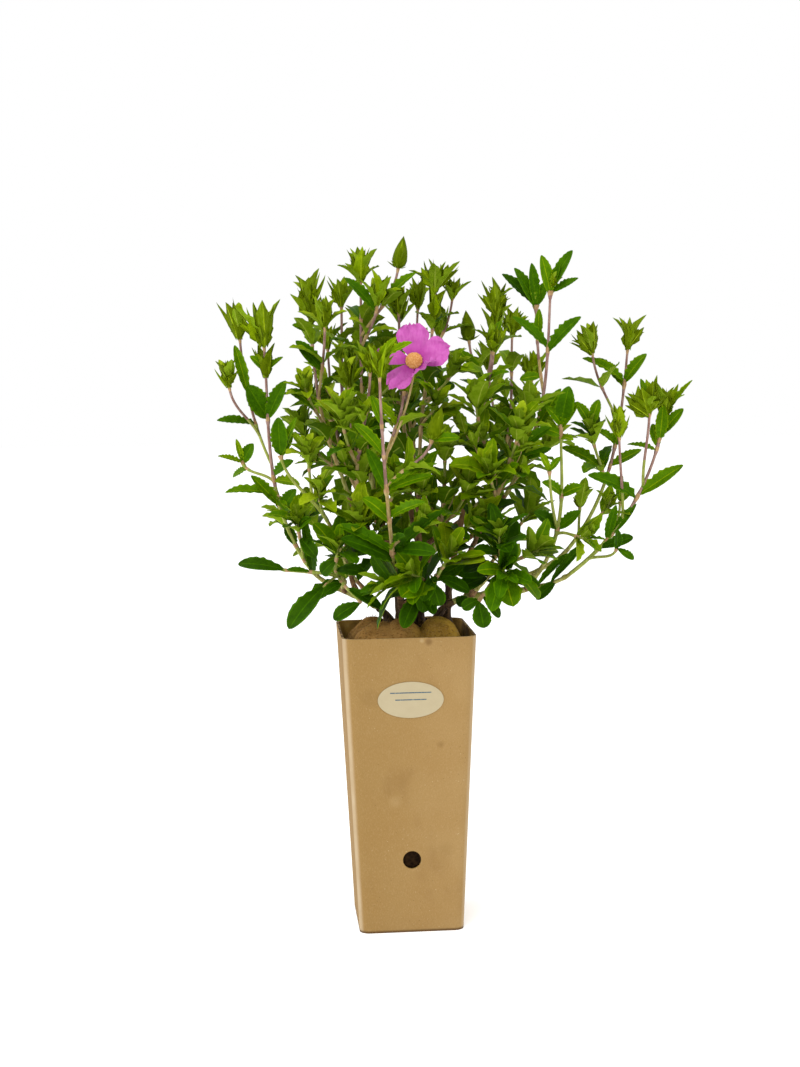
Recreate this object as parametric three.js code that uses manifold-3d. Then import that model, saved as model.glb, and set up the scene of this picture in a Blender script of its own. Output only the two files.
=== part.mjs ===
// A rockrose in a tall carton pot: a young evergreen shrub on its wrapped root ball, with one open flower.
// Millimetres, +Z up. The origin is the middle of the pot's flat underside; the labelled face looks along -Y.
import * as THREE from "three";
import { mergeVertices } from "three/addons/utils/BufferGeometryUtils.js";
import Module from "manifold-3d";

const wasm = await Module();
wasm.setup();

// The carton pot: outer widths, height, wall and the round of its upright folds.
const POT_TOP = 95;
const POT_FOOT = 75;
const POT_HEIGHT = 214;
const POT_WALL = 1.6;
const POT_CORNER = 9;
const CORNER_STEPS = 4;
const DRAIN_WIDTH = 13;
const DRAIN_MIDDLE = 53.5;
const LABEL_WIDTH = 46.5;
const LABEL_HEIGHT = 26;
const LABEL_THICK = 0.3;
const LABEL_MIDDLE = 170;

// The wrapped root ball: the height of the earth round the stems, and two folds of the wrap in front of them.
const EARTH = 217;
const FOLDS = [
  { x: -24, y: -30, rise: 7 },
  { x: 22, y: -30, rise: 8.5 },
];
const FOLD_LENGTH = 22;
const FOLD_DEPTH = 16;
const BALL_CORNER = 0.25;
const BALL_SHOULDER = 8;
const BALL_STEPS = 8;

// Pieces that touch keep this much air between their meshes.
const GAP = 0.3;
const LEAF_GAP = 0.5;

// Edges shorter than this are smoothed away where pieces fuse.
const SLIVER = 0.25;

// The shrub stands a little turned in its pot.
const SHRUB_TURN = THREE.MathUtils.degToRad(-5);

// Woody limbs and green twigs: radii, and how they leave and bend.
const STEM_FOOT = 3.1;
const BOUGH_FOOT = 1.9;
const LIMB_END = 1.35;
const LEADER_FOOT = 1.3;
const SHOOT_FOOT = 1.0;
const TWIG_END = 0.75;
const BEND = 0.36;
const UPTURN = 0.45;
const STEM_SWING = 1.5;
const LIMB_FORK = THREE.MathUtils.degToRad(52);
const TWIG_FORK = THREE.MathUtils.degToRad(38);
const LIMB_SIDES = 6;
const TWIG_SIDES = 3;
const STRAIGHT = 40;

// Leaves, in opposite pairs down each shoot.
const LEAF_LENGTH = 37;
const LEAF_WIDTH = 17;
const LEAF_THICK = 1.1;
const YOUNG = 0.62;
const GROWN_BELOW = 55;
const PAIR_STEP = 44;
const STAGGER = 1.8;
const FIRST_PAIR = { budded: 30, single: 32, leafy: 24 };
const LAST_PAIR = 8;
const LEAF_SINK = 0.2;
const ROOT_ROOM = 4.5;
const RISE_YOUNG = THREE.MathUtils.degToRad(55);
const RISE_OLD = THREE.MathUtils.degToRad(12);
const LEAF_CUP = 0.08;
const LEAF_DROOP = 0.14;
const UNEVEN = { turn: 0.5, rise: 0.3, length: 0.2 };
const LOW_LEAF = { size: 1.12, width: 1.3, hang: THREE.MathUtils.degToRad(28) };

// A leaf that would meet a neighbour tries these turns aside, each with its share of the full size.
const LEAF_TRIES = [
  [0, 1],
  [0.45, 0.95],
  [-0.45, 0.95],
  [0.9, 0.85],
  [-0.9, 0.85],
  [0, 0.7],
];

// Buds, the bracts round them, and the young leaves at a shoot's end, with how steeply each rises in radians.
const BUD = { length: 31, width: 10, thick: 9, belly: 0.66 };
const CLUSTER = { length: 33, width: 17, thick: 14, belly: 0.6 };
const BUD_SINK = 5;
const BRACT = { length: 27, width: 11, thick: 1.1, belly: 0.42 };
const BRACT_RISE = 0.85;
const ROSETTE = { length: 29, width: 14, thick: 1.1, cup: 1.5, droop: 3 };
const ROSETTE_RISE = 0.7;
const HEART = { length: 20, width: 10, thick: 1.1, cup: 1.5 };
const HEART_RISE = 1.1;

// The open flower: five crumpled petals round a boss of stamens, looking forward and a little up.
const FLOWER_PETALS = 5;
const PETAL_LENGTH = 24;
const PETAL_WIDTH = 22;
const PETAL_THICK = 0.9;
const PETAL_CUP = 3.5;
const BOSS_WIDTH = 10.5;
const FLOWER_FACE = new THREE.Vector3(-0.06, -0.94, 0.34).normalize();
const FLOWER_HEART = new THREE.Vector3(8.9, -82, 406);
const STALK_RADIUS = 0.8;
const STALK_SHARE = 0.58;

// Each mass of foliage. from is the foot [x, y] of a stem on the root ball, or the limb that a bough leaves and
// the share of that limb's length; entry is where the limb ends and the mass begins. A shoot is its tip, its
// ending, and the earlier shoot that it leaves with the share of that shoot's length; the first is the leader.
// The shoots of a low mass reach outwards instead of turning up, and its leaves are larger and hang.
const MASSES = {
  far_left: {
    from: [-10, 0],
    entry: [-67, 0, 258],
    shoots: [
      [-97, -5, 418, "budded"],
      [-116, 15, 424, "budded", 0, 0.5],
      [-121, -20, 390, "budded", 1, 0.25],
      [-116, 12, 336, "leafy", 0, 0.42],
      [-75, -20, 300, "leafy", 0, 0.05],
      [-89, 20, 298, "leafy", 0, 0.1],
    ],
  },
  front: {
    from: [-1, -6],
    entry: [-7, -62, 273],
    shoots: [
      [-14, -100, 396, "budded"],
      [2, -64, 386, "single", 0, 0.55],
      [20, -90, 354, "single", 0, 0.42],
      [16, -74, 301, "leafy", 0, 0.06],
    ],
  },
  top_left: {
    from: [-3, 8],
    entry: [-25, -5, 344],
    shoots: [
      [-28, 5, 464, "budded"],
      [-16, -18, 446, "budded", 0, 0.6],
      [-1, -5, 472, "single", 0, 0.68],
      [-2, -22, 401, "leafy", 0, 0.2],
    ],
  },
  top_centre: {
    from: [11, -1],
    entry: [13, 5, 344],
    shoots: [
      [25, 10, 456, "budded"],
      [38, 20, 452, "budded", 0, 0.6],
      [39, -12, 406, "leafy", 0, 0.25],
      [25, -26, 380, "leafy", 0, 0.12],
    ],
  },
  top_right: {
    from: [31, 4],
    entry: [51, 2, 333],
    shoots: [
      [68, 0, 441, "budded"],
      [50, 28, 421, "single", 0, 0.45],
      [65, -24, 413, "budded", 0, 0.4],
    ],
  },
  far_right: {
    from: [22, -5],
    entry: [119, -15, 254],
    shoots: [
      [186, -15, 365, "budded"],
      [173, -32, 368, "budded", 0, 0.62],
      [152, -32, 352, "budded", 0, 0.4],
      [150, -34, 274, "leafy", 0, 0.12],
      [158, 10, 303, "leafy", 0, 0.3],
    ],
  },
  back_centre: {
    from: [12, 16],
    entry: [10, 60, 319],
    shoots: [
      [-1, 78, 438, "budded"],
      [30, 98, 426, "budded", 0, 0.3],
      [10, 124, 387, "leafy", 0, 0.12],
      [-19, 98, 405, "budded", 0, 0.24],
    ],
  },
  left_low: {
    from: ["far_left", 0.5],
    entry: [-53, -28, 295],
    shoots: [
      [-85, -32, 342, "leafy"],
      [-65, -46, 348, "leafy", 0, 0.3],
      [-57, -58, 322, "leafy", 0, 0.1],
    ],
  },
  left_mid: {
    from: ["top_left", 0.4],
    entry: [-45, -5, 330],
    shoots: [
      [-65, 10, 446, "budded"],
      [-53, -18, 431, "budded", 0, 0.45],
      [-68, -27, 394, "leafy", 0, 0.25],
    ],
  },
  left_top: {
    from: ["top_left", 0.6],
    entry: [-37, 25, 339],
    shoots: [
      [-43, 35, 447, "budded"],
      [-29, 52, 433, "leafy", 0, 0.4],
      [-68, 42, 388, "leafy", 0, 0.14],
    ],
  },
  front_left: {
    from: ["front", 0.62],
    entry: [-29, -46, 301],
    shoots: [
      [-21, -55, 399, "budded"],
      [-41, -64, 375, "leafy", 0, 0.35],
      [-36, -40, 389, "budded", 0, 0.4],
    ],
  },
  top_centre_back: {
    from: ["top_centre", 0.5],
    entry: [3, 26, 344],
    shoots: [
      [-1, 25, 442, "budded"],
      [13, 38, 445, "budded", 0, 0.4],
      [-12, 48, 419, "leafy", 0, 0.25],
    ],
  },
  right_top: {
    from: ["top_right", 0.5],
    entry: [83, -15, 328],
    shoots: [
      [105, -25, 454, "budded"],
      [97, 4, 445, "budded", 0, 0.45],
    ],
  },
  centre_right: {
    from: ["top_right", 0.3],
    entry: [62, -32, 304],
    shoots: [
      [89, -36, 379, "leafy"],
      [51, -42, 382, "leafy", 0, 0.15],
      [81, -60, 365, "leafy", 0, 0.3],
      [59, -66, 334, "leafy", 0, 0.08],
    ],
  },
  right: {
    from: ["far_right", 0.62],
    entry: [120, 6, 270],
    shoots: [
      [164, 15, 413, "budded"],
      [137, 2, 411, "budded", 0, 0.66],
      [135, -6, 359, "leafy", 0, 0.36],
      [149, -8, 307, "leafy", 0, 0.1],
      [131, 26, 311, "leafy", 0, 0.08],
    ],
  },
  right_low: {
    from: ["far_right", 0.72],
    entry: [105, -30, 275],
    shoots: [
      [112, -24, 363, "leafy"],
      [101, -56, 330, "leafy", 0, 0.14],
      [130, -50, 286, "leafy", 0, 0.1],
    ],
  },
  back_left: {
    from: ["back_centre", 0.4],
    entry: [-33, 50, 309],
    shoots: [
      [-55, 68, 417, "budded"],
      [-37, 100, 405, "budded", 0, 0.28],
      [-78, 76, 362, "leafy", 0, 0.12],
      [-54, 108, 350, "leafy", 0, 0.08],
    ],
  },
  back_right: {
    from: ["back_centre", 0.5],
    entry: [63, 48, 308],
    shoots: [
      [84, 66, 425, "budded"],
      [100, 84, 392, "budded", 0, 0.25],
      [68, 108, 400, "budded", 0, 0.28],
      [112, 54, 350, "leafy", 0, 0.1],
      [97, 108, 348, "leafy", 0, 0.08],
    ],
  },
  middle_left: {
    from: ["top_left", 0.25],
    entry: [-20, -28, 272],
    shoots: [
      [-28, -46, 336, "leafy"],
      [-4, -50, 326, "leafy", 0, 0.2],
      [-30, -58, 304, "leafy", 0, 0.1],
    ],
  },
  middle_right: {
    from: ["top_centre", 0.25],
    entry: [24, -26, 280],
    shoots: [
      [30, -44, 352, "leafy"],
      [12, -56, 326, "leafy", 0, 0.2],
      [46, -52, 326, "leafy", 0, 0.15],
      [52, -44, 298, "leafy", 0, 0.06],
    ],
  },
  low_front: {
    from: ["front", 0.3],
    entry: [16, -40, 248],
    low: true,
    shoots: [
      [34, -62, 276, "leafy"],
      [4, -66, 262, "leafy", 0, 0.1],
      [-16, -60, 252, "leafy", 0, 0.05],
    ],
  },
  low_left: {
    from: ["far_left", 0.3],
    entry: [-40, 24, 253],
    low: true,
    shoots: [
      [-73, 44, 296, "leafy"],
      [-39, 58, 294, "leafy", 0, 0.12],
    ],
  },
  low_middle: {
    from: ["far_left", 0.62],
    entry: [-44, -30, 255],
    low: true,
    shoots: [
      [-86, -36, 262, "leafy"],
      [-63, -51, 243, "leafy", 0, 0.1],
      [-30, -52, 240, "leafy", 0, 0.04],
      [-44, -60, 282, "leafy", 0, 0.1],
    ],
  },
  low_right: {
    from: ["far_right", 0.36],
    entry: [62, 16, 256],
    low: true,
    shoots: [
      [97, 34, 298, "leafy"],
      [69, 50, 296, "leafy", 0, 0.12],
    ],
  },
  low_side: {
    from: ["far_right", 0.4],
    entry: [64, -34, 258],
    low: true,
    shoots: [
      [96, -50, 276, "leafy"],
      [70, -62, 260, "leafy", 0, 0.12],
      [52, -52, 240, "leafy", 0, 0.04],
      [66, -60, 290, "leafy", 0, 0.1],
    ],
  },
  low_back: {
    from: ["back_centre", 0.25],
    entry: [12, 48, 255],
    low: true,
    shoots: [
      [37, 82, 293, "leafy"],
      [-21, 80, 293, "leafy", 0, 0.1],
      [7, 98, 277, "leafy", 0, 0.2],
    ],
  },
};

const finish = (color, roughness) => new THREE.MeshStandardMaterial({ color, roughness, metalness: 0 });
const FINISHES = {
  carton: finish(0xb28f5c, 0.85),
  label: finish(0xd9d1a8, 0.6),
  wrap: finish(0x96733f, 0.95),
  bark: finish(0x5d4632, 0.85),
  foliage: finish(0x4f7a28, 0.6),
  petal: finish(0xcf5cc6, 0.6),
};

const UP = new THREE.Vector3(0, 0, 1);
const vector = (list) => new THREE.Vector3(list[0], list[1], list[2]);

// A closed geometry as a solid that can be joined and cut.
function solid(geometry) {
  geometry.deleteAttribute("normal");
  geometry.deleteAttribute("uv");
  const merged = mergeVertices(geometry, 1e-4);
  return new wasm.Manifold(
    new wasm.Mesh({
      numProp: 3,
      vertProperties: merged.attributes.position.array,
      triVerts: new Uint32Array(merged.index.array),
    }),
  );
}

// The one body of a solid as a geometry: slivers are smoothed out, a sealed hollow is filled and a loose scrap
// is dropped.
function wholeBody(made) {
  const bodies = made.simplify(SLIVER).decompose().sort((a, b) => b.volume() - a.volume());
  const mesh = bodies[0].getMesh();
  const geometry = new THREE.BufferGeometry();
  geometry.setAttribute("position", new THREE.BufferAttribute(mesh.vertProperties, 3));
  geometry.setIndex(new THREE.BufferAttribute(mesh.triVerts, 1));
  geometry.computeVertexNormals();
  return geometry;
}

function node(name, geometry, material) {
  const mesh = new THREE.Mesh(geometry, material);
  mesh.name = name;
  return mesh;
}

// Moves every vertex of a geometry by a rule.
function reshape(geometry, rule) {
  const spots = geometry.attributes.position;
  for (let i = 0; i < spots.count; i++) {
    const spot = rule(spots.getX(i), spots.getY(i), spots.getZ(i));
    spots.setXYZ(i, spot.x, spot.y, spot.z);
  }
  return geometry;
}

const potHalf = (height) => THREE.MathUtils.lerp(POT_FOOT, POT_TOP, height / POT_HEIGHT) / 2;

// A rounded square column that widens with the pot, from one height to another, inset from the pot's outside.
function column(from, to, inset) {
  const half = potHalf(POT_HEIGHT);
  const middle = half - POT_CORNER;
  const quarter = Math.PI / 2;
  const outline = new THREE.Shape();
  outline.absarc(middle, -middle, POT_CORNER, -quarter, 0);
  outline.absarc(middle, middle, POT_CORNER, 0, quarter);
  outline.absarc(-middle, middle, POT_CORNER, quarter, 2 * quarter);
  outline.absarc(-middle, -middle, POT_CORNER, 2 * quarter, 3 * quarter);
  const bar = new THREE.ExtrudeGeometry(outline, {
    depth: to - from,
    bevelEnabled: false,
    curveSegments: CORNER_STEPS,
  });
  return reshape(bar, (x, y, z) => {
    const scale = (potHalf(from + z) - inset) / half;
    return { x: x * scale, y: y * scale, z: from + z };
  });
}

function makePot() {
  const inside = solid(column(POT_WALL, POT_HEIGHT + POT_WALL, POT_WALL));
  const drill = new THREE.CylinderGeometry(DRAIN_WIDTH / 2, DRAIN_WIDTH / 2, POT_FOOT / 2, 24);
  drill.translate(0, -POT_FOOT / 2, DRAIN_MIDDLE);
  const wall = solid(column(0, POT_HEIGHT, 0)).subtract(inside).subtract(solid(drill));
  return node("pot", wholeBody(wall), FINISHES.carton);
}

function makeLabel() {
  const lean = Math.atan((POT_TOP - POT_FOOT) / 2 / POT_HEIGHT);
  const oval = new THREE.CylinderGeometry(1, 1, LABEL_THICK, 28);
  oval.scale(LABEL_WIDTH / 2, 1, LABEL_HEIGHT / 2);
  const label = node("label", oval, FINISHES.label);
  label.rotation.x = lean;
  label.position.set(0, -potHalf(LABEL_MIDDLE) - GAP - LABEL_THICK, LABEL_MIDDLE);
  return label;
}

// How high the root ball's top stands at a place: level earth, with the folds of the wrap over it.
function ballTop(x, y) {
  let height = EARTH;
  for (const fold of FOLDS) {
    const away = ((x - fold.x) / FOLD_LENGTH) ** 2 + ((y - fold.y) / FOLD_DEPTH) ** 2;
    height += fold.rise * Math.max(0, 1 - away);
  }
  return height;
}

// A soft square plug that fills the pot, rounder than the pot at its corners and at its shoulder.
function makeRootBall() {
  const bottom = POT_WALL + GAP;
  const box = new THREE.BoxGeometry(2, 2, 1, BALL_STEPS, BALL_STEPS, BALL_STEPS / 2);
  reshape(box, (u, v, w) => {
    const x = u * Math.sqrt(1 - BALL_CORNER * v * v);
    const y = v * Math.sqrt(1 - BALL_CORNER * u * u);
    const edge = Math.max(Math.abs(u), Math.abs(v)) ** 8;
    const top = ballTop((x * POT_TOP) / 2, (y * POT_TOP) / 2) - BALL_SHOULDER * edge;
    const z = THREE.MathUtils.lerp(bottom, top, w + 0.5);
    const half = potHalf(Math.min(z, POT_HEIGHT)) - POT_WALL - GAP;
    return { x: x * half, y: y * half, z };
  });
  return node("root_ball", wholeBody(solid(box)), FINISHES.wrap);
}

// The same seed always gives the same run of numbers from 0 to 1.
function dice(seed) {
  let last = seed;
  return () => {
    last = (last * 16807) % 2147483647;
    return last / 2147483647;
  };
}

// A limb or twig: a curve that leaves along one direction and arrives along another, with a radius at each end.
function limb(from, leaving, to, arriving, thick, thin) {
  const reach = from.distanceTo(to) * BEND;
  const curve = new THREE.CubicBezierCurve3(
    from,
    from.clone().addScaledVector(leaving, reach),
    to.clone().addScaledVector(arriving, -reach),
    to,
  );
  const side = new THREE.Vector3().crossVectors(to.clone().sub(from), UP);
  if (side.length() < 1) side.set(1, 0, 0);
  const length = curve.getLength();
  const steps = Math.max(2, Math.round(length / STRAIGHT));
  return { curve, points: curve.getPoints(steps), steps, side: side.normalize(), thick, thin, length };
}

// A limb is made of straight lengths: the place on them at a share of the whole.
function placeOn(way, share) {
  const step = Math.min(Math.floor(share * way.steps), way.steps - 1);
  return way.points[step].clone().lerp(way.points[step + 1], share * way.steps - step);
}

// The line of a limb at a share of its length, and two directions across it.
function frameAt(way, share) {
  const line = way.curve.getTangent(share);
  const across = way.side.clone().addScaledVector(line, -way.side.dot(line)).normalize();
  return { middle: placeOn(way, share), line, across, other: across.clone().cross(line) };
}

// The solid of a limb or twig. A cylinder's own axis, Y, is laid along its curve.
function limbSolid(way, sides) {
  const bar = new THREE.CylinderGeometry(way.thin, way.thick, 1, sides, way.steps);
  return solid(
    reshape(bar, (x, y, z) => {
      const { middle, across, other } = frameAt(way, y + 0.5);
      return middle.addScaledVector(across, x).addScaledVector(other, z);
    }),
  );
}

// The direction that a side limb leaves in: forked off its parent's line, towards where it is going.
function forkWay(parent, share, goal, angle) {
  const { middle, line } = frameAt(parent, share);
  const way = goal.clone().sub(middle);
  way.addScaledVector(line, -way.dot(line)).normalize();
  return way.multiplyScalar(Math.sin(angle)).addScaledVector(line, Math.cos(angle));
}

// A side limb starts outside its parent's bark, with the gap between them.
function clearOf(parent, share, leaving, angle, radius) {
  const bark = THREE.MathUtils.lerp(parent.thick, parent.thin, share);
  const reach = (bark + GAP + radius * Math.cos(angle)) / Math.sin(angle);
  return placeOn(parent, share).addScaledVector(leaving, reach);
}

// An eight-faced blade from its root to its tip: a leaf, a bract, a bud, or one plane of a petal.
function blade(root, along, face, size) {
  const { length, width, thick, belly = 0.5, cup = 0, droop = 0, swell = 0 } = size;
  const across = along.clone().cross(face);
  const rib = (cup - droop) * 0.3;
  return solid(
    reshape(new THREE.OctahedronGeometry(1, 0), (x, y, z) => {
      const out = y === 0 ? belly * length : (y > 0 ? length + swell : -swell);
      const wide = x * (width / 2 + swell);
      const lift = y > 0 ? -droop : Math.abs(x) * cup + (z === 0 ? 0 : rib + z * (thick / 2 + swell));
      return root.clone().addScaledVector(along, out).addScaledVector(across, wide).addScaledVector(face, lift);
    }),
  );
}

// Every solid that a new leaf or twig has to keep clear of, with the node that owns it and the twig it is.
const placed = [];

function place(owner, made, twig = null) {
  placed.push({ owner, made, twig, box: made.boundingBox() });
}

const apart = (a, b) => [0, 1, 2].some((i) => a.max[i] < b.min[i] || b.max[i] < a.min[i]);

// Whether a solid would touch anything but what it may grow on.
function touches(made, mayTouch) {
  const box = made.boundingBox();
  return placed.some((other) => {
    if (mayTouch(other) || apart(box, other.box)) return false;
    const common = made.intersect(other.made);
    const volume = common.volume();
    common.delete();
    return volume > 0;
  });
}

// Adds a blade to its mass unless it, with the gap round it, would touch anything past its root; tells
// whether it did.
function addBlade(mass, twig, root, along, face, size) {
  const clear = root.clone().addScaledVector(along, ROOT_ROOM);
  const beyond = blade(clear, along, face, { ...size, length: size.length - ROOT_ROOM, swell: LEAF_GAP });
  const whole = blade(root, along, face, { ...size, swell: GAP });
  const blocked =
    touches(beyond, (other) => other.twig === twig) || touches(whole, (other) => other.owner === mass.name);
  beyond.delete();
  whole.delete();
  if (blocked) return false;
  const made = blade(root, along, face, size);
  place(mass.name, made);
  mass.parts.push(made);
  return true;
}

// A direction that leans off a limb's line by a rise and turns round it, and the upper face that goes with it.
function leanOff(way, share, turn, rise) {
  const { middle, line, across, other } = frameAt(way, share);
  const out = across.clone().multiplyScalar(Math.cos(turn)).addScaledVector(other, Math.sin(turn));
  const along = out.multiplyScalar(Math.cos(rise)).addScaledVector(line, Math.sin(rise));
  const face = line.clone().multiplyScalar(0.7).addScaledVector(UP, 0.5);
  face.addScaledVector(along, -face.dot(along)).normalize();
  const sink = LEAF_SINK * THREE.MathUtils.lerp(way.thick, way.thin, share);
  return { root: middle.addScaledVector(along, -sink), along, face };
}

// A leaf tries each turn in order, and is skipped if it meets a neighbour at all of them.
function addLeaf(mass, way, share, turn, rise, size) {
  for (const [aside, scale] of LEAF_TRIES) {
    const { root, along, face } = leanOff(way, share, turn + aside, rise);
    const length = size.length * scale;
    const width = size.width * scale;
    const cut = { length, width, thick: LEAF_THICK, cup: length * LEAF_CUP, droop: length * LEAF_DROOP };
    if (addBlade(mass, way, root, along, face, cut)) return;
  }
}

// Opposite pairs of leaves down a shoot, each pair a quarter turn from the last and larger than the one above.
function addPairs(mass, shoot, roll) {
  const { way, ending } = shoot;
  const low = mass.low ? LOW_LEAF : { size: 1, width: 1, hang: 0 };
  let quarter = roll() * Math.PI;
  for (let down = FIRST_PAIR[ending]; down < way.length - LAST_PAIR; down += PAIR_STEP) {
    const age = Math.min(1, down / GROWN_BELOW);
    const grown = THREE.MathUtils.lerp(YOUNG, 1, age) * low.size;
    quarter += Math.PI / 2;
    for (const half of [0, 1]) {
      const turn = quarter + half * Math.PI + (roll() - 0.5) * UNEVEN.turn;
      const lift = THREE.MathUtils.lerp(RISE_YOUNG, RISE_OLD, age) - low.hang * age;
      const rise = lift + (roll() - 0.5) * UNEVEN.rise;
      const length = LEAF_LENGTH * grown * (1 + (roll() - 0.5) * UNEVEN.length);
      const width = LEAF_WIDTH * grown * low.width;
      const share = 1 - (down + half * STAGGER) / way.length;
      addLeaf(mass, way, share, turn, rise, { length, width });
    }
  }
}

// What a shoot ends in: a rosette of young leaves, one bud, or a cluster of buds and bracts.
function addEnding(mass, shoot, roll) {
  const { way, ending } = shoot;
  const turn = roll() * Math.PI;
  const spread = (count, rise, size, below) => {
    for (let i = 0; i < count; i++) {
      const share = 1 - (below + i * STAGGER) / way.length;
      const { root, along, face } = leanOff(way, share, turn + below + (i * 2 * Math.PI) / count, rise);
      addBlade(mass, way, root, along, face, size);
    }
  };
  if (ending === "leafy") {
    spread(2, HEART_RISE, HEART, 1);
    spread(2, ROSETTE_RISE, ROSETTE, BUD_SINK);
    return;
  }
  const { root, along, face } = leanOff(way, 1, turn, Math.PI / 2);
  const head = ending === "budded" ? CLUSTER : BUD;
  addBlade(mass, way, root.addScaledVector(along, -BUD_SINK), along, face, head);
  if (ending === "budded") spread(2, BRACT_RISE, BRACT, BUD_SINK + 1);
}

// The limbs, from the root ball outwards, then the twigs of every mass.
const limbs = {};

function growLimb(name, plan) {
  const entry = vector(plan.entry);
  const leader = vector(plan.shoots[0]).sub(entry).normalize();
  const rooted = typeof plan.from[0] === "number";
  const foot = rooted ? vector([...plan.from, EARTH + GAP]) : null;
  const parent = rooted ? null : limbs[plan.from[0]];
  const thick = rooted ? STEM_FOOT : BOUGH_FOOT;
  const leaving = rooted ? UP : forkWay(parent, plan.from[1], entry, LIMB_FORK);
  const start = foot ?? clearOf(parent, plan.from[1], leaving, LIMB_FORK, thick);
  const chord = entry.clone().sub(start).normalize();
  const arriving = chord.multiplyScalar(STEM_SWING).add(leader).normalize();
  limbs[name] = { ...limb(start, leaving, entry, arriving, thick, LIMB_END), rooted, arriving };
  limbs[name].made = limbSolid(limbs[name], LIMB_SIDES);
  place(`${name} limb`, limbs[name].made);
}

function growTwigs(name, plan) {
  const mass = { name, low: plan.low ?? false, parts: [], shoots: [] };
  for (const [x, y, z, ending, parent, share] of plan.shoots) {
    const tip = new THREE.Vector3(x, y, z);
    const leads = parent === undefined;
    const carrier = leads ? limbs[name] : mass.shoots[parent]?.way;
    if (!carrier) continue;
    const leaving = leads ? carrier.arriving : forkWay(carrier, share, tip, TWIG_FORK);
    const root = placeOn(carrier, leads ? 1 : share);
    if (leads) root.addScaledVector(leaving, GAP);
    const arriving = tip.clone().sub(root).normalize();
    if (!mass.low) arriving.multiplyScalar(UPTURN).add(UP).normalize();
    const way = limb(root, leaving, tip, arriving, leads ? LEADER_FOOT : SHOOT_FOOT, TWIG_END);
    const made = limbSolid(way, TWIG_SIDES);
    if (touches(made, (other) => other.owner === name)) {
      mass.shoots.push(null);
      continue;
    }
    place(name, made, way);
    mass.parts.push(made);
    mass.shoots.push({ way, ending });
  }
  return mass;
}

// One petal: a flattened ball, narrow at its claw and broad and wavy at its lip.
function petal(turn, across, upward) {
  const out = across.clone().multiplyScalar(Math.cos(turn)).addScaledVector(upward, Math.sin(turn));
  const aside = out.clone().cross(FLOWER_FACE);
  const ball = new THREE.SphereGeometry(1, 6, 5);
  return solid(
    reshape(ball, (x, y, z) => {
      const along = (y + 1) / 2;
      const broad = (0.35 + 0.75 * along) * PETAL_WIDTH * 0.5;
      const cup = PETAL_CUP * (along ** 2 + 0.5 * x * x * along);
      return FLOWER_HEART.clone()
        .addScaledVector(out, 1 + along * PETAL_LENGTH)
        .addScaledVector(aside, x * broad)
        .addScaledVector(FLOWER_FACE, cup + z * PETAL_THICK);
    }),
  );
}

// The flower on its own stalk, which stands just clear of the front shoot.
function makeFlower(front) {
  const carrier = front.shoots[0].way;
  const goal = FLOWER_HEART.clone().addScaledVector(FLOWER_FACE, -1);
  const leaving = forkWay(carrier, STALK_SHARE, goal, LIMB_FORK);
  const start = clearOf(carrier, STALK_SHARE, leaving, LIMB_FORK, STALK_RADIUS);
  const stalk = limb(start, leaving, goal, FLOWER_FACE, STALK_RADIUS, STALK_RADIUS);
  const across = new THREE.Vector3().crossVectors(FLOWER_FACE, UP).normalize();
  const upward = across.clone().cross(FLOWER_FACE);
  const boss = new THREE.SphereGeometry(BOSS_WIDTH / 2, 6, 4);
  boss.translate(FLOWER_HEART.x, FLOWER_HEART.y, FLOWER_HEART.z);
  const parts = [limbSolid(stalk, TWIG_SIDES), solid(boss)];
  for (let i = 0; i < FLOWER_PETALS; i++) {
    parts.push(petal(Math.PI / 2 + (i * 2 * Math.PI) / FLOWER_PETALS, across, upward));
  }
  parts.forEach((made) => place("flower", made));
  return wasm.Manifold.union(parts);
}

const plant = new THREE.Group();
const shrub = new THREE.Group();
shrub.rotation.z = SHRUB_TURN;
plant.add(makePot(), makeLabel(), makeRootBall(), shrub);

// The pot and root ball, turned into the shrub's own frame, are kept clear of too.
for (const mesh of plant.children.filter((child) => child.isMesh)) {
  mesh.updateMatrix();
  const turned = mesh.geometry.clone().applyMatrix4(mesh.matrix).rotateZ(-SHRUB_TURN);
  place(mesh.name, solid(turned));
}

for (const [name, plan] of Object.entries(MASSES)) growLimb(name, plan);

const masses = Object.entries(MASSES).map(([name, plan]) => growTwigs(name, plan));
const flower = makeFlower(masses.find((mass) => mass.name === "front"));

masses.forEach((mass, index) => {
  const roll = dice(1000 + 77 * index);
  const shoots = mass.shoots.filter(Boolean);
  shoots.forEach((shoot) => addEnding(mass, shoot, roll));
});
masses.forEach((mass, index) => {
  const roll = dice(5000 + 91 * index);
  const shoots = mass.shoots.filter(Boolean);
  shoots.forEach((shoot) => addPairs(mass, shoot, roll));
});

for (const [name, way] of Object.entries(limbs)) {
  shrub.add(node(`${way.rooted ? "stem" : "bough"}_${name}`, wholeBody(way.made), FINISHES.bark));
}
for (const mass of masses) {
  shrub.add(node(`foliage_${mass.name}`, wholeBody(wasm.Manifold.union(mass.parts)), FINISHES.foliage));
}
shrub.add(node("flower", wholeBody(flower), FINISHES.petal));

export default plant;
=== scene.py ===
"""A rockrose in a tall carton pot: stems, twigs, leaves, bud heads and one open flower."""

import math
import random

import bmesh
import bpy
import numpy as np
from mathutils import Matrix, Vector, noise
from mathutils.bvhtree import BVHTree
from mathutils.geometry import interpolate_bezier


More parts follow.
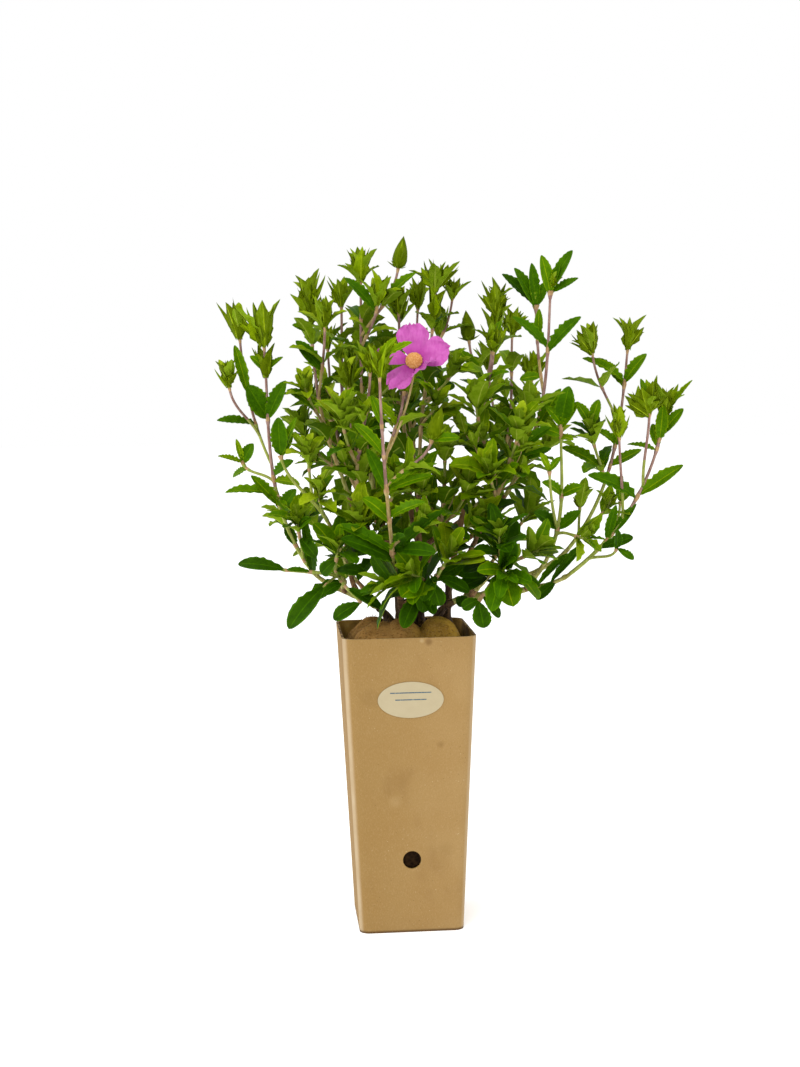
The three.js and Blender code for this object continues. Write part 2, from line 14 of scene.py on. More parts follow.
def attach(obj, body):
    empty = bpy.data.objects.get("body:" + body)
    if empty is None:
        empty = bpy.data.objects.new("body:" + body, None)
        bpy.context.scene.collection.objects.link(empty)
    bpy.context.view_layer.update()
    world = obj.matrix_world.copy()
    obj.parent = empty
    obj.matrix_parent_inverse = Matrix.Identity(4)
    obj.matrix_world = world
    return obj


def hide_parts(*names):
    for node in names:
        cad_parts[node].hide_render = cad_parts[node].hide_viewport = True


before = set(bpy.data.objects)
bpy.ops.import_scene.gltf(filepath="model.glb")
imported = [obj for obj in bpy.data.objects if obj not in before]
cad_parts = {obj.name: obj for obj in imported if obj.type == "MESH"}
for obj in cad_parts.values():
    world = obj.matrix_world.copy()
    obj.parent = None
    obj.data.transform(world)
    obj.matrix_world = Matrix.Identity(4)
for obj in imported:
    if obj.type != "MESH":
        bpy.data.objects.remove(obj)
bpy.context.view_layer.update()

# The plant is worked out in millimetres in its own frame, which stands a little turned in the pot.
MM = 0.001
SHRUB_TURN = math.radians(-5)
SHRUB = Matrix.Rotation(SHRUB_TURN, 4, "Z") @ Matrix.Scale(MM, 4)
UP = Vector((0, 0, 1))

# The carton pot, its label and the wrapped root ball, as in the solids.
POT_TOP = 95
POT_FOOT = 75
POT_HEIGHT = 214
POT_WALL = 1.6
POT_CORNER = 9
CORNER_STEPS = 10
DRAIN_WIDTH = 13
DRAIN_MIDDLE = 53.5
LABEL_WIDTH = 46.5
LABEL_HEIGHT = 26
LABEL_THICK = 0.3
LABEL_MIDDLE = 170
EARTH = 217

# The wrap's folds: where each stands, how high it rises, and how long and deep it is.
FOLDS = [
    (-22, -28, 7, 20, 17),
    (-4, -29, 9, 15, 15),
    (25, -29, 10.5, 16, 17),
    (-24, 16, 5, 12, 9),
    (20, 26, 3, 16, 10),
]
BALL_CORNER = 0.25
SHOULDER_DROP = 15
GAP = 0.3
BALL_CUTS = 47
# Below this height the root ball takes the dark compost finish as painted shade behind the drain hole.
SHADE_PAINTED_BELOW = 150

# How far the leaves keep off the pot's sides and its earth.
POT_CLEAR = 1.5
EARTH_CLEAR = 2

# The loose coir hairs: how many stand in each patch of the wrap, and how near the wall they may reach.
FIBRE_PATCHES = [(420, (-41, 41), (-42, 40)), (50, (-30, -13), (8, 26))]
FIBRE_REACH = 44

# The label's ruled lines: the length of each and its height above the middle.
RULED_LINES = ((29, 5.2), (22, 0.2))
LINE_WIDTH = 0.75
LINE_THICK = 0.1

# Limbs and twigs: radii, and how they leave and bend.
STEM_FOOT = 3.1
BOUGH_FOOT = 1.9
LIMB_END = 1.35
LEADER_FOOT = 1.5
SHOOT_FOOT = 1.15
TWIG_END = 0.88
BEND = 0.36
UPTURN = 0.45
STEM_SWING = 1.5
LIMB_FORK = math.radians(52)
TWIG_FORK = math.radians(38)

# How far limbs and twigs swell at the foot and the joints, and where the limbs' three barks meet.
FOOT_SWELL = 1.4
LIMB_JOINT = 0.35
LIMB_JOINT_STEP = 16
LEAF_JOINT = 0.45
HEAD_JOINT = 0.5
OLD_BARK_TO = 0.42
YOUNG_BARK_FROM = 0.75
BARK_RELIEF = 0.35

# Leaves, in opposite pairs down each shoot.
LEAF_LENGTH = 33
LEAF_WIDTH = 14
YOUNG = 0.62
GROWN_BELOW = 55
FIRST_PAIR = {"budded": 27, "single": 30, "leafy": 15}
PAIR_STEP = {"budded": 27, "single": 27, "leafy": 17}
PAIR_CLOSER = 0.82
PAIR_STEP_LEAST = 11
LAST_PAIR = 6
RISE_YOUNG = math.radians(57)
RISE_OLD = math.radians(24)
UNEVEN = {"turn": 0.7, "rise": 0.45, "length": 0.35}
LOW_LEAF = {"size": 1.15, "width": 1.3, "hang": math.radians(28)}

# Finer side twigs, which leave at the pairs of leaves.
SIDE_FROM = 44
SIDE_CHANCE = 0.55
SIDE_LENGTH = (13, 34)
SIDE_FOOT = 0.62
SIDE_END = 0.42
SIDE_FORK = math.radians(44)
PAIRED_TWIG = 24

# Masses that stand open against the sky: their pairs are farther apart, with fewer twigs and tufts.
OPEN_MASSES = (
    "far_left", "far_right", "right", "right_top", "top_right", "left_mid", "top_centre", "left_low", "front",
    "right_low",
)
OPEN_STEP = 1.45
OPEN_SIDE = 0.22
OPEN_TUFT = 0.4
TUFT_CHANCE = 0.62

# Old leaves on the upper part of the other limbs.
LIMB_LEAVED = 0.5
LIMB_PAIR_STEP = 15
LIMB_LEAF_CHANCE = 0.7

# The shoots that bear no leaves by the rule, because theirs show one by one.
BARE = {
    ("far_left", 0), ("far_left", 1), ("far_left", 2), ("far_left", 3), ("left_low", 0), ("low_middle", 0),
    ("low_middle", 1), ("far_right", 0), ("far_right", 1), ("far_right", 2), ("far_right", 3), ("right", 0),
    ("right_top", 0), ("right_top", 1), ("low_side", 2), ("low_middle", 2), ("front", 0), ("right_low", 0),
    ("right_low", 1), ("far_right", 4),
}

# The outer masses, whose limbs and twigs are olive green instead of brown.
OLIVE_MASSES = ("far_left", "far_right", "right", "right_low", "low_side", "low_middle", "left_low")
OLIVE_FROM = 0.3

# How large the heads of bracts are, where they differ from the rest.
HEAD_SIZE = 1.1
HEAD_SIZES = {
    ("far_left", 0): 1.65, ("far_left", 1): 1.4, ("far_left", 2): 1.1,
    ("left_mid", 0): 1.3, ("left_mid", 1): 1.15,
    ("top_left", 0): 1.2, ("top_left", 1): 1.2,
    ("top_centre", 0): 1.3, ("top_centre", 1): 0.8,
    ("right_top", 0): 0.75, ("right_top", 1): 0.5,
    ("right", 0): 1.2, ("right", 1): 1.15,
    ("far_right", 0): 1.2, ("far_right", 1): 1.2,
}

# How large the rosettes of young leaves are, where they differ from the rest.
ROSETTE_SIZE = 1.0
OPEN_ROSETTE = 0.78
ROSETTE_SIZES = {
    ("right", 3): 0.55, ("right", 4): 0.55, ("right_low", 2): 0.6,
    ("left_top", 2): 0.7, ("left_mid", 2): 0.65,
}

# A rosette's pairs from its tip down: how steeply the leaves stand and how long they are.
ROSETTE = ((1.35, 10), (1.2, 17), (1.02, 23), (0.84, 27), (0.66, 29))

# The buds' length and width, and a goblet's pairs of bracts: length, width and how far each leans out.
GOBLET_BUD = (13, 4.6)
SINGLE_BUD = (24, 11)
GOBLET_BRACTS = ((21, 9.4, 0.26), (20, 8.8, 0.13), (15, 6.6, 0.05))
FRINGE_BRACTS = 11

# How a leaf's tone falls from a shoot's tip into the shade, and how far shoots and leaves depart from it.
TONE_FALL = 2.6
SHADE_BELOW = 290
SHADE_FALL = 1.3
SHOOT_BIAS = (-0.2, 1.3)
LOW_BIAS = 0.7
LIMB_BIAS = 1.1
OWN_BIAS = 1.5
OWN_BIAS_DARK = 2.0
OWN_DARK_ABOVE = 430
UNLIKE = 0.75
OWN_UNLIKE = 0.35

# More heads below the first on a shoot: the share of its length, the size, and how far each leans aside.
MORE_HEADS = {
    ("far_left", 0): [(0.87, 1.15, 0.0)],
    ("left_mid", 0): [(0.94, 1.1, -0.4), (0.9, 0.95, 0.35)],
    ("top_centre", 0): [(0.83, 1.2, 0.1)],
    ("top_right", 0): [(0.84, 1.2, 0.0), (0.76, 0.8, 0.4), (0.98, 0.9, -0.5), (0.96, 0.8, 0.5)],
    ("right", 1): [(0.97, 0.95, -0.5)],
    ("far_right", 1): [(0.98, 1.0, -0.6), (0.96, 0.95, -1.3)],
}

# The leaves that show one by one: the shoot that bears each, or the limb as -1, the share of its length, the
# spot that the leaf's tip reaches, and its width.
OWN_LEAVES = {
    "far_left": [
        (0, 0.70, (-110, -8, 390), 16), (0, 0.70, (-83, -9, 394), 11), (0, 0.90, (-84, -5, 411), 4.5),
        (0, 0.90, (-107, -8, 412), 7), (1, 0.35, (-132, 0, 366), 7.5), (1, 0.60, (-120, 12, 420), 8),
        (0, 0.36, (-128, -4, 315), 7), (0, 0.31, (-108, -9, 326), 9), (0, 0.28, (-77, -10, 317), 11),
        (0, 0.12, (-85, 4, 289), 8), (3, 0.95, (-108, 8, 349), 10), (3, 0.95, (-133, 6, 340), 5),
        (3, 0.97, (-119, 8, 352), 4.5), (3, 0.75, (-124, 22, 325), 7), (0, 0.45, (-78, -10, 338), 8),
        (0, 0.43, (-73, -14, 321), 8), (0, 0.34, (-84, -14, 303), 7), (0, 0.04, (-62, -18, 278), 8),
        (-1, 0.97, (-66, -20, 286), 8), (4, 0.50, (-62, -24, 268), 10), (4, 0.70, (-64, -26, 297), 9),
        (-1, 1.00, (-71, -18, 300), 7),
    ],
    "left_low": [
        (0, 1.00, (-86, -36, 369), 12), (0, 0.98, (-78, -28, 360), 9), (0, 1.00, (-73, -36, 368), 6.5),
    ],
    "left_mid": [
        (1, 0.40, (-74, -15, 421), 11), (0, 0.86, (-77, 3, 433), 7), (2, 0.40, (-80, -28, 388), 10),
    ],
    "low_middle": [
        (0, 0.92, (-116, -37, 266), 12), (1, 0.45, (-80, -66, 223), 15.5), (0, 0.55, (-82, -42, 262), 5),
        (2, 0.35, (-56, -50, 246), 9), (2, 1.00, (-49, -56, 229), 12), (2, 0.50, (-15, -56, 237), 9),
        (3, 0.50, (-58, -46, 260), 11), (3, 0.20, (-28, -52, 262), 11),
    ],
    "top_left": [
        (1, 0.88, (-39, -18, 465), 9), (2, 0.50, (12, -8, 469), 8), (-1, 1.00, (-13, 4, 368), 14),
        (-1, 0.90, (-16, 0, 352), 13),
    ],
    "top_centre": [(0, 0.10, (42, -4, 374), 13), (2, 0.40, (38, 4, 390), 11)],
    "centre_right": [(0, 0.50, (104, -32, 361), 8), (0, 0.45, (104, -36, 344), 10)],
    "top_right": [(1, 0.25, (41, -2, 414), 9), (2, 0.40, (76, -30, 398), 7), (0, 0.08, (42, 0, 361), 13)],
    "front": [
        (1, 0.55, (-23, -82, 383), 6.5), (2, 1.00, (38, -95, 356), 8), (0, 1.08, (7, -108, 419), 6),
        (0, 1.08, (-3, -104, 422), 5.5), (-1, 0.96, (-42, -74, 286), 16), (-1, 1.00, (27, -84, 307), 9),
        (0, 0.03, (23, -88, 276), 10), (0, 0.02, (-46, -62, 296), 9), (0, 0.04, (1, -90, 291), 8),
        (0, 0.40, (20, -92, 331), 8), (0, 0.40, (-24, -88, 348), 10), (0, 0.42, (24, -86, 338), 6),
        (0, 0.22, (-27, -82, 316), 11), (0, 0.24, (14, -98, 314), 9), (0, 0.60, (-32, -86, 366), 8),
        (0, 0.76, (-20, -94, 384), 6),
    ],
    "right_top": [
        (0, 1.00, (119, -29, 482), 8), (0, 0.99, (124, -28, 462), 7), (0, 0.98, (98, -30, 478), 9),
        (0, 1.00, (111, -30, 474), 5), (1, 1.00, (73, 2, 467), 9), (1, 0.97, (81, -2, 471), 10),
        (1, 1.00, (93, -4, 474), 8), (1, 0.99, (104, -2, 462), 8), (0, 0.70, (78, -28, 436), 9),
        (0, 0.68, (126, -30, 436), 9.5), (1, 0.62, (98, -8, 442), 6.5), (1, 0.20, (84, -14, 392), 9),
        (0, 0.25, (112, -28, 385), 10),
    ],
    "right": [
        (0, 0.85, (130, 8, 407), 7), (0, 0.83, (143, 18, 407), 8), (0, 0.85, (177, 9, 410), 9),
        (0, 0.55, (140, 4, 356), 7), (0, 0.55, (157, 6, 358), 7), (0, 0.45, (174, 14, 340), 8.5),
        (2, 0.25, (115, 10, 343), 9), (2, 1.00, (141, -6, 378), 8), (2, 0.98, (124, -6, 376), 8),
    ],
    "far_right": [
        (0, 1.00, (206, -16, 391), 4), (0, 0.90, (199, -14, 371), 8.5), (0, 0.88, (184, -22, 374), 9),
        (0, 0.84, (179, -12, 360), 8), (0, 0.82, (159, -22, 346), 5), (0, 0.56, (199, -18, 330), 11),
        (0, 0.54, (130, -26, 325), 11), (0, 0.30, (166, -18, 303), 7), (0, 0.26, (151, -18, 303), 7),
        (3, 1.00, (160, -44, 266), 6), (3, 0.98, (148, -46, 288), 7), (0, 0.20, (163, -26, 279), 9.5),
        (1, 1.00, (167, -30, 392), 6), (4, 1.00, (156, 8, 318), 6), (4, 1.00, (166, 8, 312), 6),
        (-1, 0.78, (116, -22, 270), 6.5), (-1, 0.86, (128, -20, 274), 6.5), (-1, 0.90, (94, -20, 236), 9),
        (-1, 0.40, (38, -20, 232), 11),
    ],
    "right_low": [
        (0, 0.97, (117, -30, 388), 14), (0, 0.97, (101, -30, 374), 9), (0, 0.95, (124, -30, 377), 8),
        (0, 0.90, (97, -30, 360), 11), (0, 0.88, (120, -32, 350), 6), (0, 0.42, (97, -42, 322), 9),
        (0, 0.42, (126, -36, 318), 9), (0, 0.15, (92, -44, 302), 11), (0, 0.15, (124, -40, 300), 10),
        (1, 1.00, (95, -60, 343), 5), (1, 1.00, (108, -58, 340), 5),
    ],
    "low_side": [
        (2, 1.00, (54, -58, 222), 13), (2, 0.85, (67, -54, 229), 8), (2, 0.95, (40, -54, 236), 9),
        (2, 0.60, (62, -58, 246), 8), (-1, 0.70, (80, -44, 243), 8), (-1, 0.95, (95, -42, 247), 9),
        (-1, 0.90, (37, -46, 262), 13), (-1, 0.80, (36, -44, 247), 12), (3, 0.40, (48, -56, 276), 10),
    ],
    "low_front": [
        (-1, 0.65, (-1, -53, 224), 12), (0, 0.40, (12, -60, 243), 10), (0, 0.20, (24, -46, 236), 12),
        (0, 0.35, (46, -54, 248), 11), (0, 0.10, (12, -46, 232), 12),
    ],
}

# The way that these leaves face, how far they are lengthened, and the height that broad ones stay below.
OWN_FACE = Vector((0, -0.8, 0.6))
OWN_STRETCH = 1.02
BROAD_BELOW = 285

# The flower.
PETAL_LENGTH = 24
PETAL_WIDTH = 22
BOSS_WIDTH = 12
FLOWER_FACE = Vector((-0.06, -0.94, 0.34)).normalized()
FLOWER_HEART = Vector((8.9, -82, 406))
STALK_RADIUS = 0.8
STALK_SHARE = 0.58
STAMENS = 250
STAMEN_SIZE = 0.6
BOSS_RISE = 3.0
SUNFLOWER_TURN = 2.39996

# Each mass of foliage. from is the foot of a stem on the root ball, or the limb that a bough leaves and the
# share of that limb's length; entry is where the limb ends. A shoot is its tip, its ending, and the earlier
# shoot that it leaves with the share of that shoot's length; the first is the leader. The shoots of a low
# mass reach outwards instead of turning up, and its leaves are larger and hang.
MASSES = {
    "far_left": {
        "from": (-10, 0), "entry": (-67, 0, 258),
        "shoots": [
            (-97, -5, 418, "budded"), (-116, 15, 424, "budded", 0, 0.5),
            (-121, -20, 390, "budded", 1, 0.25), (-116, 12, 336, "leafy", 0, 0.42),
            (-75, -20, 300, "leafy", 0, 0.05), (-89, 20, 298, "leafy", 0, 0.1),
        ],
    },
    "front": {
        "from": (-1, -6), "entry": (-7, -62, 273),
        "shoots": [
            (-14, -100, 396, "budded"), (2, -64, 386, "single", 0, 0.55), (20, -90, 354, "single", 0, 0.42),
            (16, -74, 301, "leafy", 0, 0.06),
        ],
    },
    "top_left": {
        "from": (-3, 8), "entry": (-25, -5, 344),
        "shoots": [
            (-28, 5, 464, "budded"), (-16, -18, 446, "budded", 0, 0.6), (-1, -5, 472, "single", 0, 0.68),
            (-2, -22, 401, "leafy", 0, 0.2),
        ],
    },
    "top_centre": {
        "from": (11, -1), "entry": (13, 5, 344),
        "shoots": [
            (25, 10, 456, "budded"), (38, 20, 452, "budded", 0, 0.6), (39, -12, 406, "leafy", 0, 0.25),
            (25, -26, 380, "leafy", 0, 0.12),
        ],
    },
    "top_right": {
        "from": (31, 4), "entry": (51, 2, 333),
        "shoots": [
            (68, 0, 441, "budded"), (50, 28, 421, "single", 0, 0.45), (65, -24, 413, "budded", 0, 0.4),
        ],
    },
    "far_right": {
        "from": (22, -5), "entry": (119, -15, 254),
        "shoots": [
            (186, -15, 365, "budded"), (173, -32, 368, "budded", 0, 0.62),
            (152, -32, 352, "budded", 0, 0.4), (150, -34, 274, "leafy", 0, 0.12),
            (158, 10, 303, "leafy", 0, 0.3),
        ],
    },
    "back_centre": {
        "from": (12, 16), "entry": (10, 60, 319),
        "shoots": [
            (-1, 78, 438, "budded"), (30, 98, 426, "budded", 0, 0.3), (10, 124, 387, "leafy", 0, 0.12),
            (-19, 98, 405, "budded", 0, 0.24),
        ],
    },
    "left_low": {
        "from": ("far_left", 0.5), "entry": (-53, -28, 295),
        "shoots": [
            (-85, -32, 342, "leafy"), (-65, -46, 348, "leafy", 0, 0.3), (-57, -58, 322, "leafy", 0, 0.1),
        ],
    },
    "left_mid": {
        "from": ("top_left", 0.4), "entry": (-45, -5, 330),
        "shoots": [
            (-65, 10, 446, "budded"), (-53, -18, 431, "budded", 0, 0.45), (-68, -27, 394, "leafy", 0, 0.25),
        ],
    },
    "left_top": {
        "from": ("top_left", 0.6), "entry": (-37, 25, 339),
        "shoots": [
            (-43, 35, 447, "budded"), (-29, 52, 433, "leafy", 0, 0.4), (-68, 42, 388, "leafy", 0, 0.14),
        ],
    },
    "front_left": {
        "from": ("front", 0.62), "entry": (-29, -46, 301),
        "shoots": [
            (-21, -55, 399, "budded"), (-41, -64, 375, "leafy", 0, 0.35), (-36, -40, 389, "budded", 0, 0.4),
        ],
    },
    "top_centre_back": {
        "from": ("top_centre", 0.5), "entry": (3, 26, 344),
        "shoots": [
            (-1, 25, 442, "budded"), (13, 38, 445, "budded", 0, 0.4), (-12, 48, 419, "leafy", 0, 0.25),
        ],
    },
    "right_top": {
        "from": ("top_right", 0.5), "entry": (83, -15, 328),
        "shoots": [(105, -25, 454, "budded"), (97, 4, 445, "budded", 0, 0.45)],
    },
    "centre_right": {
        "from": ("top_right", 0.3), "entry": (62, -32, 304),
        "shoots": [
            (89, -36, 379, "leafy"), (51, -42, 382, "leafy", 0, 0.15), (81, -60, 365, "leafy", 0, 0.3),
            (59, -66, 334, "leafy", 0, 0.08),
        ],
    },
    "right": {
        "from": ("far_right", 0.62), "entry": (120, 6, 270),
        "shoots": [
            (164, 15, 413, "budded"), (137, 2, 411, "budded", 0, 0.66), (135, -6, 359, "leafy", 0, 0.36),
            (149, -8, 307, "leafy", 0, 0.1), (131, 26, 311, "leafy", 0, 0.08),
        ],
    },
    "right_low": {
        "from": ("far_right", 0.72), "entry": (105, -30, 275),
        "shoots": [
            (112, -24, 363, "leafy"), (101, -56, 330, "leafy", 0, 0.14), (130, -50, 286, "leafy", 0, 0.1),
        ],
    },
    "back_left": {
        "from": ("back_centre", 0.4), "entry": (-33, 50, 309),
        "shoots": [
            (-55, 68, 417, "budded"), (-37, 100, 405, "budded", 0, 0.28), (-78, 76, 362, "leafy", 0, 0.12),
            (-54, 108, 350, "leafy", 0, 0.08),
        ],
    },
    "back_right": {
        "from": ("back_centre", 0.5), "entry": (63, 48, 308),
        "shoots": [
            (84, 66, 425, "budded"), (100, 84, 392, "budded", 0, 0.25), (68, 108, 400, "budded", 0, 0.28),
            (112, 54, 350, "leafy", 0, 0.1), (97, 108, 348, "leafy", 0, 0.08),
        ],
    },
    "middle_left": {
        "from": ("top_left", 0.25), "entry": (-20, -28, 272),
        "shoots": [
            (-28, -46, 336, "leafy"), (-4, -50, 326, "leafy", 0, 0.2), (-30, -58, 304, "leafy", 0, 0.1),
        ],
    },
    "middle_right": {
        "from": ("top_centre", 0.25), "entry": (24, -26, 280),
        "shoots": [
            (30, -44, 352, "leafy"), (12, -56, 326, "leafy", 0, 0.2), (46, -52, 326, "leafy", 0, 0.15),
            (52, -44, 298, "leafy", 0, 0.06),
        ],
    },
    "low_front": {
        "from": ("front", 0.3), "entry": (16, -40, 248), "low": True,
        "shoots": [
            (34, -62, 276, "leafy"), (4, -66, 262, "leafy", 0, 0.1), (-16, -60, 252, "leafy", 0, 0.05),
        ],
    },
    "low_left": {
        "from": ("far_left", 0.3), "entry": (-40, 24, 253), "low": True,
        "shoots": [(-73, 44, 296, "leafy"), (-39, 58, 294, "leafy", 0, 0.12)],
    },
    "low_middle": {
        "from": ("far_left", 0.62), "entry": (-44, -30, 255), "low": True,
        "shoots": [
            (-86, -36, 262, "leafy"), (-63, -51, 243, "leafy", 0, 0.1), (-30, -52, 240, "leafy", 0, 0.04),
            (-44, -60, 282, "leafy", 0, 0.1),
        ],
    },
    "low_right": {
        "from": ("far_right", 0.36), "entry": (62, 16, 256), "low": True,
        "shoots": [(97, 34, 298, "leafy"), (69, 50, 296, "leafy", 0, 0.12)],
    },
    "low_side": {
        "from": ("far_right", 0.4), "entry": (64, -34, 258), "low": True,
        "shoots": [
            (96, -50, 276, "leafy"), (70, -62, 260, "leafy", 0, 0.12), (52, -52, 240, "leafy", 0, 0.04),
            (66, -60, 290, "leafy", 0, 0.1),
        ],
    },
    "low_back": {
        "from": ("back_centre", 0.25), "entry": (12, 48, 255), "low": True,
        "shoots": [(37, 82, 293, "leafy"), (-21, 80, 293, "leafy", 0, 0.1), (7, 98, 277, "leafy", 0, 0.2)],
    },
}

# The masses whose leaves are joined into one piece.
SPRAYS = {
    "left": ("far_left", "left_low", "left_mid", "left_top", "low_left", "low_middle"),
    "middle": ("front", "front_left", "top_left", "middle_left", "middle_right", "low_front"),
    "centre": ("top_centre", "top_centre_back", "top_right", "right_top", "centre_right"),
    "right": ("far_right", "right", "right_low", "low_right", "low_side"),
    "back": ("back_centre", "back_left", "back_right", "low_back"),
}


def tint(red, green, blue):
    """A colour as the eye names it, 0 to 255, in the light that a shader reckons in."""
    return (*((part / 255) ** 2.2 for part in (red, green, blue)), 1)


class Value:
    """A number that changes over a surface, so that a sum written on it adds its nodes."""

    def __init__(self, finish, socket):
        self.finish = finish
        self.socket = socket

    def math(self, operation, *values):
        return self.finish.node("ShaderNodeMath", {"operation": operation}, dict(enumerate(values)))

    def __add__(self, other):
        return self.math("ADD", self, other)

    def __radd__(self, other):
        return self.math("ADD", other, self)

    def __sub__(self, other):
        return self.math("SUBTRACT", self, other)

    def __rsub__(self, other):
        return self.math("SUBTRACT", other, self)

    def __mul__(self, other):
        return self.math("MULTIPLY", self, other)

    def __rmul__(self, other):
        return self.math("MULTIPLY", other, self)

    def __abs__(self):
        return self.math("ABSOLUTE", self)

    def above(self, edge, soft):
        """0 below an edge and 1 above it, over a soft band."""
        settings = {"interpolation_type": "SMOOTHSTEP", "clamp": True}
        return self.finish.node("ShaderNodeMapRange", settings, {0: self, 1: edge - soft, 2: edge + soft})


class Finish:
    """A material whose colour is laid on in coats, with one method that adds any node to it."""

    def __init__(self, name, colour, roughness, shine=0.2):
        self.material = bpy.data.materials.new(name)
        self.material.use_nodes = True
        self.material.diffuse_color = colour
        self.tree = self.material.node_tree
        self.shader = self.tree.nodes["Principled BSDF"]
        self.shader.inputs["Roughness"].default_value = roughness
        self.shader.inputs["Specular IOR Level"].default_value = shine
        self.colour(colour)

    def fill(self, socket, value):
        if isinstance(value, Value):
            self.tree.links.new(value.socket, socket)
        else:
            socket.default_value = value

    def node(self, kind, settings, inputs, outlet=0):
        made = self.tree.nodes.new(kind)
        for setting, value in settings.items():
            setattr(made, setting, value)
        for socket, value in inputs.items():
            self.fill(made.inputs[socket], value)
        return Value(self, made.outputs[outlet])

    def spot(self):
        return self.node("ShaderNodeTexCoord", {}, {}, "Object")

    def stretched(self, *scale):
        return self.node("ShaderNodeMapping", {}, {"Vector": self.spot(), "Scale": scale})

    def axis(self, outlet):
        return self.node("ShaderNodeSeparateXYZ", {}, {0: self.spot()}, outlet)

    def distance(self, place):
        inputs = {0: self.spot(), 1: place}
        return self.node("ShaderNodeVectorMath", {"operation": "DISTANCE"}, inputs, "Value")

    def noise(self, scale, detail=3.0, vector=None):
        inputs = {"Vector": vector or self.spot(), "Scale": scale, "Detail": detail}
        return self.node("ShaderNodeTexNoise", {}, inputs, "Fac")

    def cells(self, scale):
        return self.node("ShaderNodeTexVoronoi", {}, {"Vector": self.spot(), "Scale": scale}, "Distance")

    def mix(self, share, one, other):
        return self.node("ShaderNodeMix", {"data_type": "RGBA"}, {0: share, 6: one, 7: other}, 2)

    def colour(self, value):
        self.base = value
        self.fill(self.shader.inputs["Base Color"], value)

    def coat(self, share, colour):
        """Lays a colour over the last, by a share that may change from place to place."""
        self.colour(self.mix(share, self.base, colour))

    def rough(self, value):
        self.fill(self.shader.inputs["Roughness"], value)

    def relief(self, height, depth, strength=1.0):
        inputs = {"Strength": strength, "Distance": depth, "Height": height}
        self.fill(self.shader.inputs["Normal"], self.node("ShaderNodeBump", {}, inputs))


# Scuffs on the carton's front: where each is, how far it reaches, how strong it is and its colour.
SCUFFS = [
    (13, 211, 3.2, 0.55, tint(92, 64, 34)),
    (8, 212, 2.0, 0.4, tint(176, 156, 118)),
    (21, 137, 4.0, 0.35, tint(104, 76, 40)),
    (-29, 172, 7.0, 0.18, tint(110, 84, 46)),
    (-12, 96, 5.0, 0.15, tint(172, 148, 108)),
    (24, 60, 6.0, 0.16, tint(112, 86, 48)),
]


def carton_finish():
    """Recycled board: fibres, light and dark flecks, faint stains; painted light pales its folds and right,
    painted shade its foot.
    """
    finish = Finish("carton", tint(137, 109, 65), 0.82)
    across, depth, height = (finish.axis(outlet) for outlet in "XYZ")
    # Painted light: the board is coated paler towards its right, where the light falls on it.
    finish.coat(across.above(0.004, 0.045), tint(148, 120, 77))
    cloud = finish.noise(26, 4.0)
    finish.coat(cloud.above(0.52, 0.16) * 0.3, tint(134, 103, 57))
    fibre = finish.noise(1500, 2.0, finish.stretched(1, 1, 0.45))
    finish.coat(fibre.above(0.58, 0.1) * 0.14, tint(172, 146, 106))
    grain = finish.noise(2200, 1.0)
    finish.coat(grain.above(0.6, 0.12) * 0.2, tint(106, 78, 42))
    pale = (1 - finish.cells(300).above(0.085, 0.04)) * finish.noise(60).above(0.56, 0.05)
    finish.coat(pale * 0.5, tint(193, 178, 144))
    dark = (1 - finish.cells(330).above(0.085, 0.035)) * finish.noise(85).above(0.56, 0.05)
    finish.coat(dark * 0.6, tint(68, 45, 22))
    stain = finish.noise(30, 3.0, finish.stretched(1, 1, 0.6))
    finish.coat(stain.above(0.66, 0.09) * 0.22, tint(101, 70, 33))
    half = height * ((POT_TOP - POT_FOOT) / POT_HEIGHT / 2) + POT_FOOT * MM / 2
    # Painted light: the side halves of the corner folds are coated paler, as the side lights fall on them,
    # less so on the right.
    fold = (abs(across) + abs(depth) - half * 2).above(-0.0078, 0.0016)
    lit_side = (abs(across) - abs(depth)).above(0.0, 0.0025)
    wear_and_side_light = (0.3 + finish.noise(55, 2.0) * 0.4) * (1 - across.above(0.01, 0.01) * 0.4)
    finish.coat(fold * lit_side * wear_and_side_light, tint(190, 173, 146))
    for x, z, reach, share, shade in SCUFFS:
        away = finish.distance((x * MM, -half_width(z) * MM, z * MM))
        ragged = away + (cloud - 0.5) * (reach * MM * 2.2)
        finish.coat((1 - ragged.above(reach * MM * 0.7, reach * MM * 0.5)) * share, shade)
    # Painted shade: a dark band along the lowest couple of millimetres, for the contact shadow at the floor.
    foot = 1 - height.above(0.0016, 0.0009)
    finish.coat(foot * 0.75, tint(58, 35, 17))
    finish.rough(finish.noise(300) * 0.2 + 0.72)
    finish.relief(fibre + grain * 0.6, 0.00012, 0.5)
    return finish.material


def inside_finish():
    """The board inside the rim, mottled olive-brown, its colour raised as painted light to make up for the
    shade inside the pot.
    """
    finish = Finish("carton_inside", tint(110, 88, 46), 0.9)
    finish.colour(finish.mix(finish.noise(75, 4.0).above(0.48, 0.14), tint(144, 113, 54), tint(92, 70, 32)))
    finish.coat(finish.noise(240, 3.0).above(0.6, 0.06) * 0.4, tint(152, 130, 80))
    finish.relief(finish.noise(700, 3.0), 0.0002, 0.7)
    return finish.material


def edge_finish():
    """The cut edge of the board at the rim: paler, frayed and marked."""
    finish = Finish("carton_edge", tint(160, 134, 92), 0.9)
    behind = finish.axis("Y").above(-0.043, 0.003)
    marks = (finish.noise(190, 3.0) + behind * 0.12).above(0.6, 0.05)
    finish.colour(finish.mix(marks * 0.8, tint(156, 130, 88), tint(76, 48, 28)))
    finish.relief(finish.noise(1500), 0.0002, 0.8)
    return finish.material


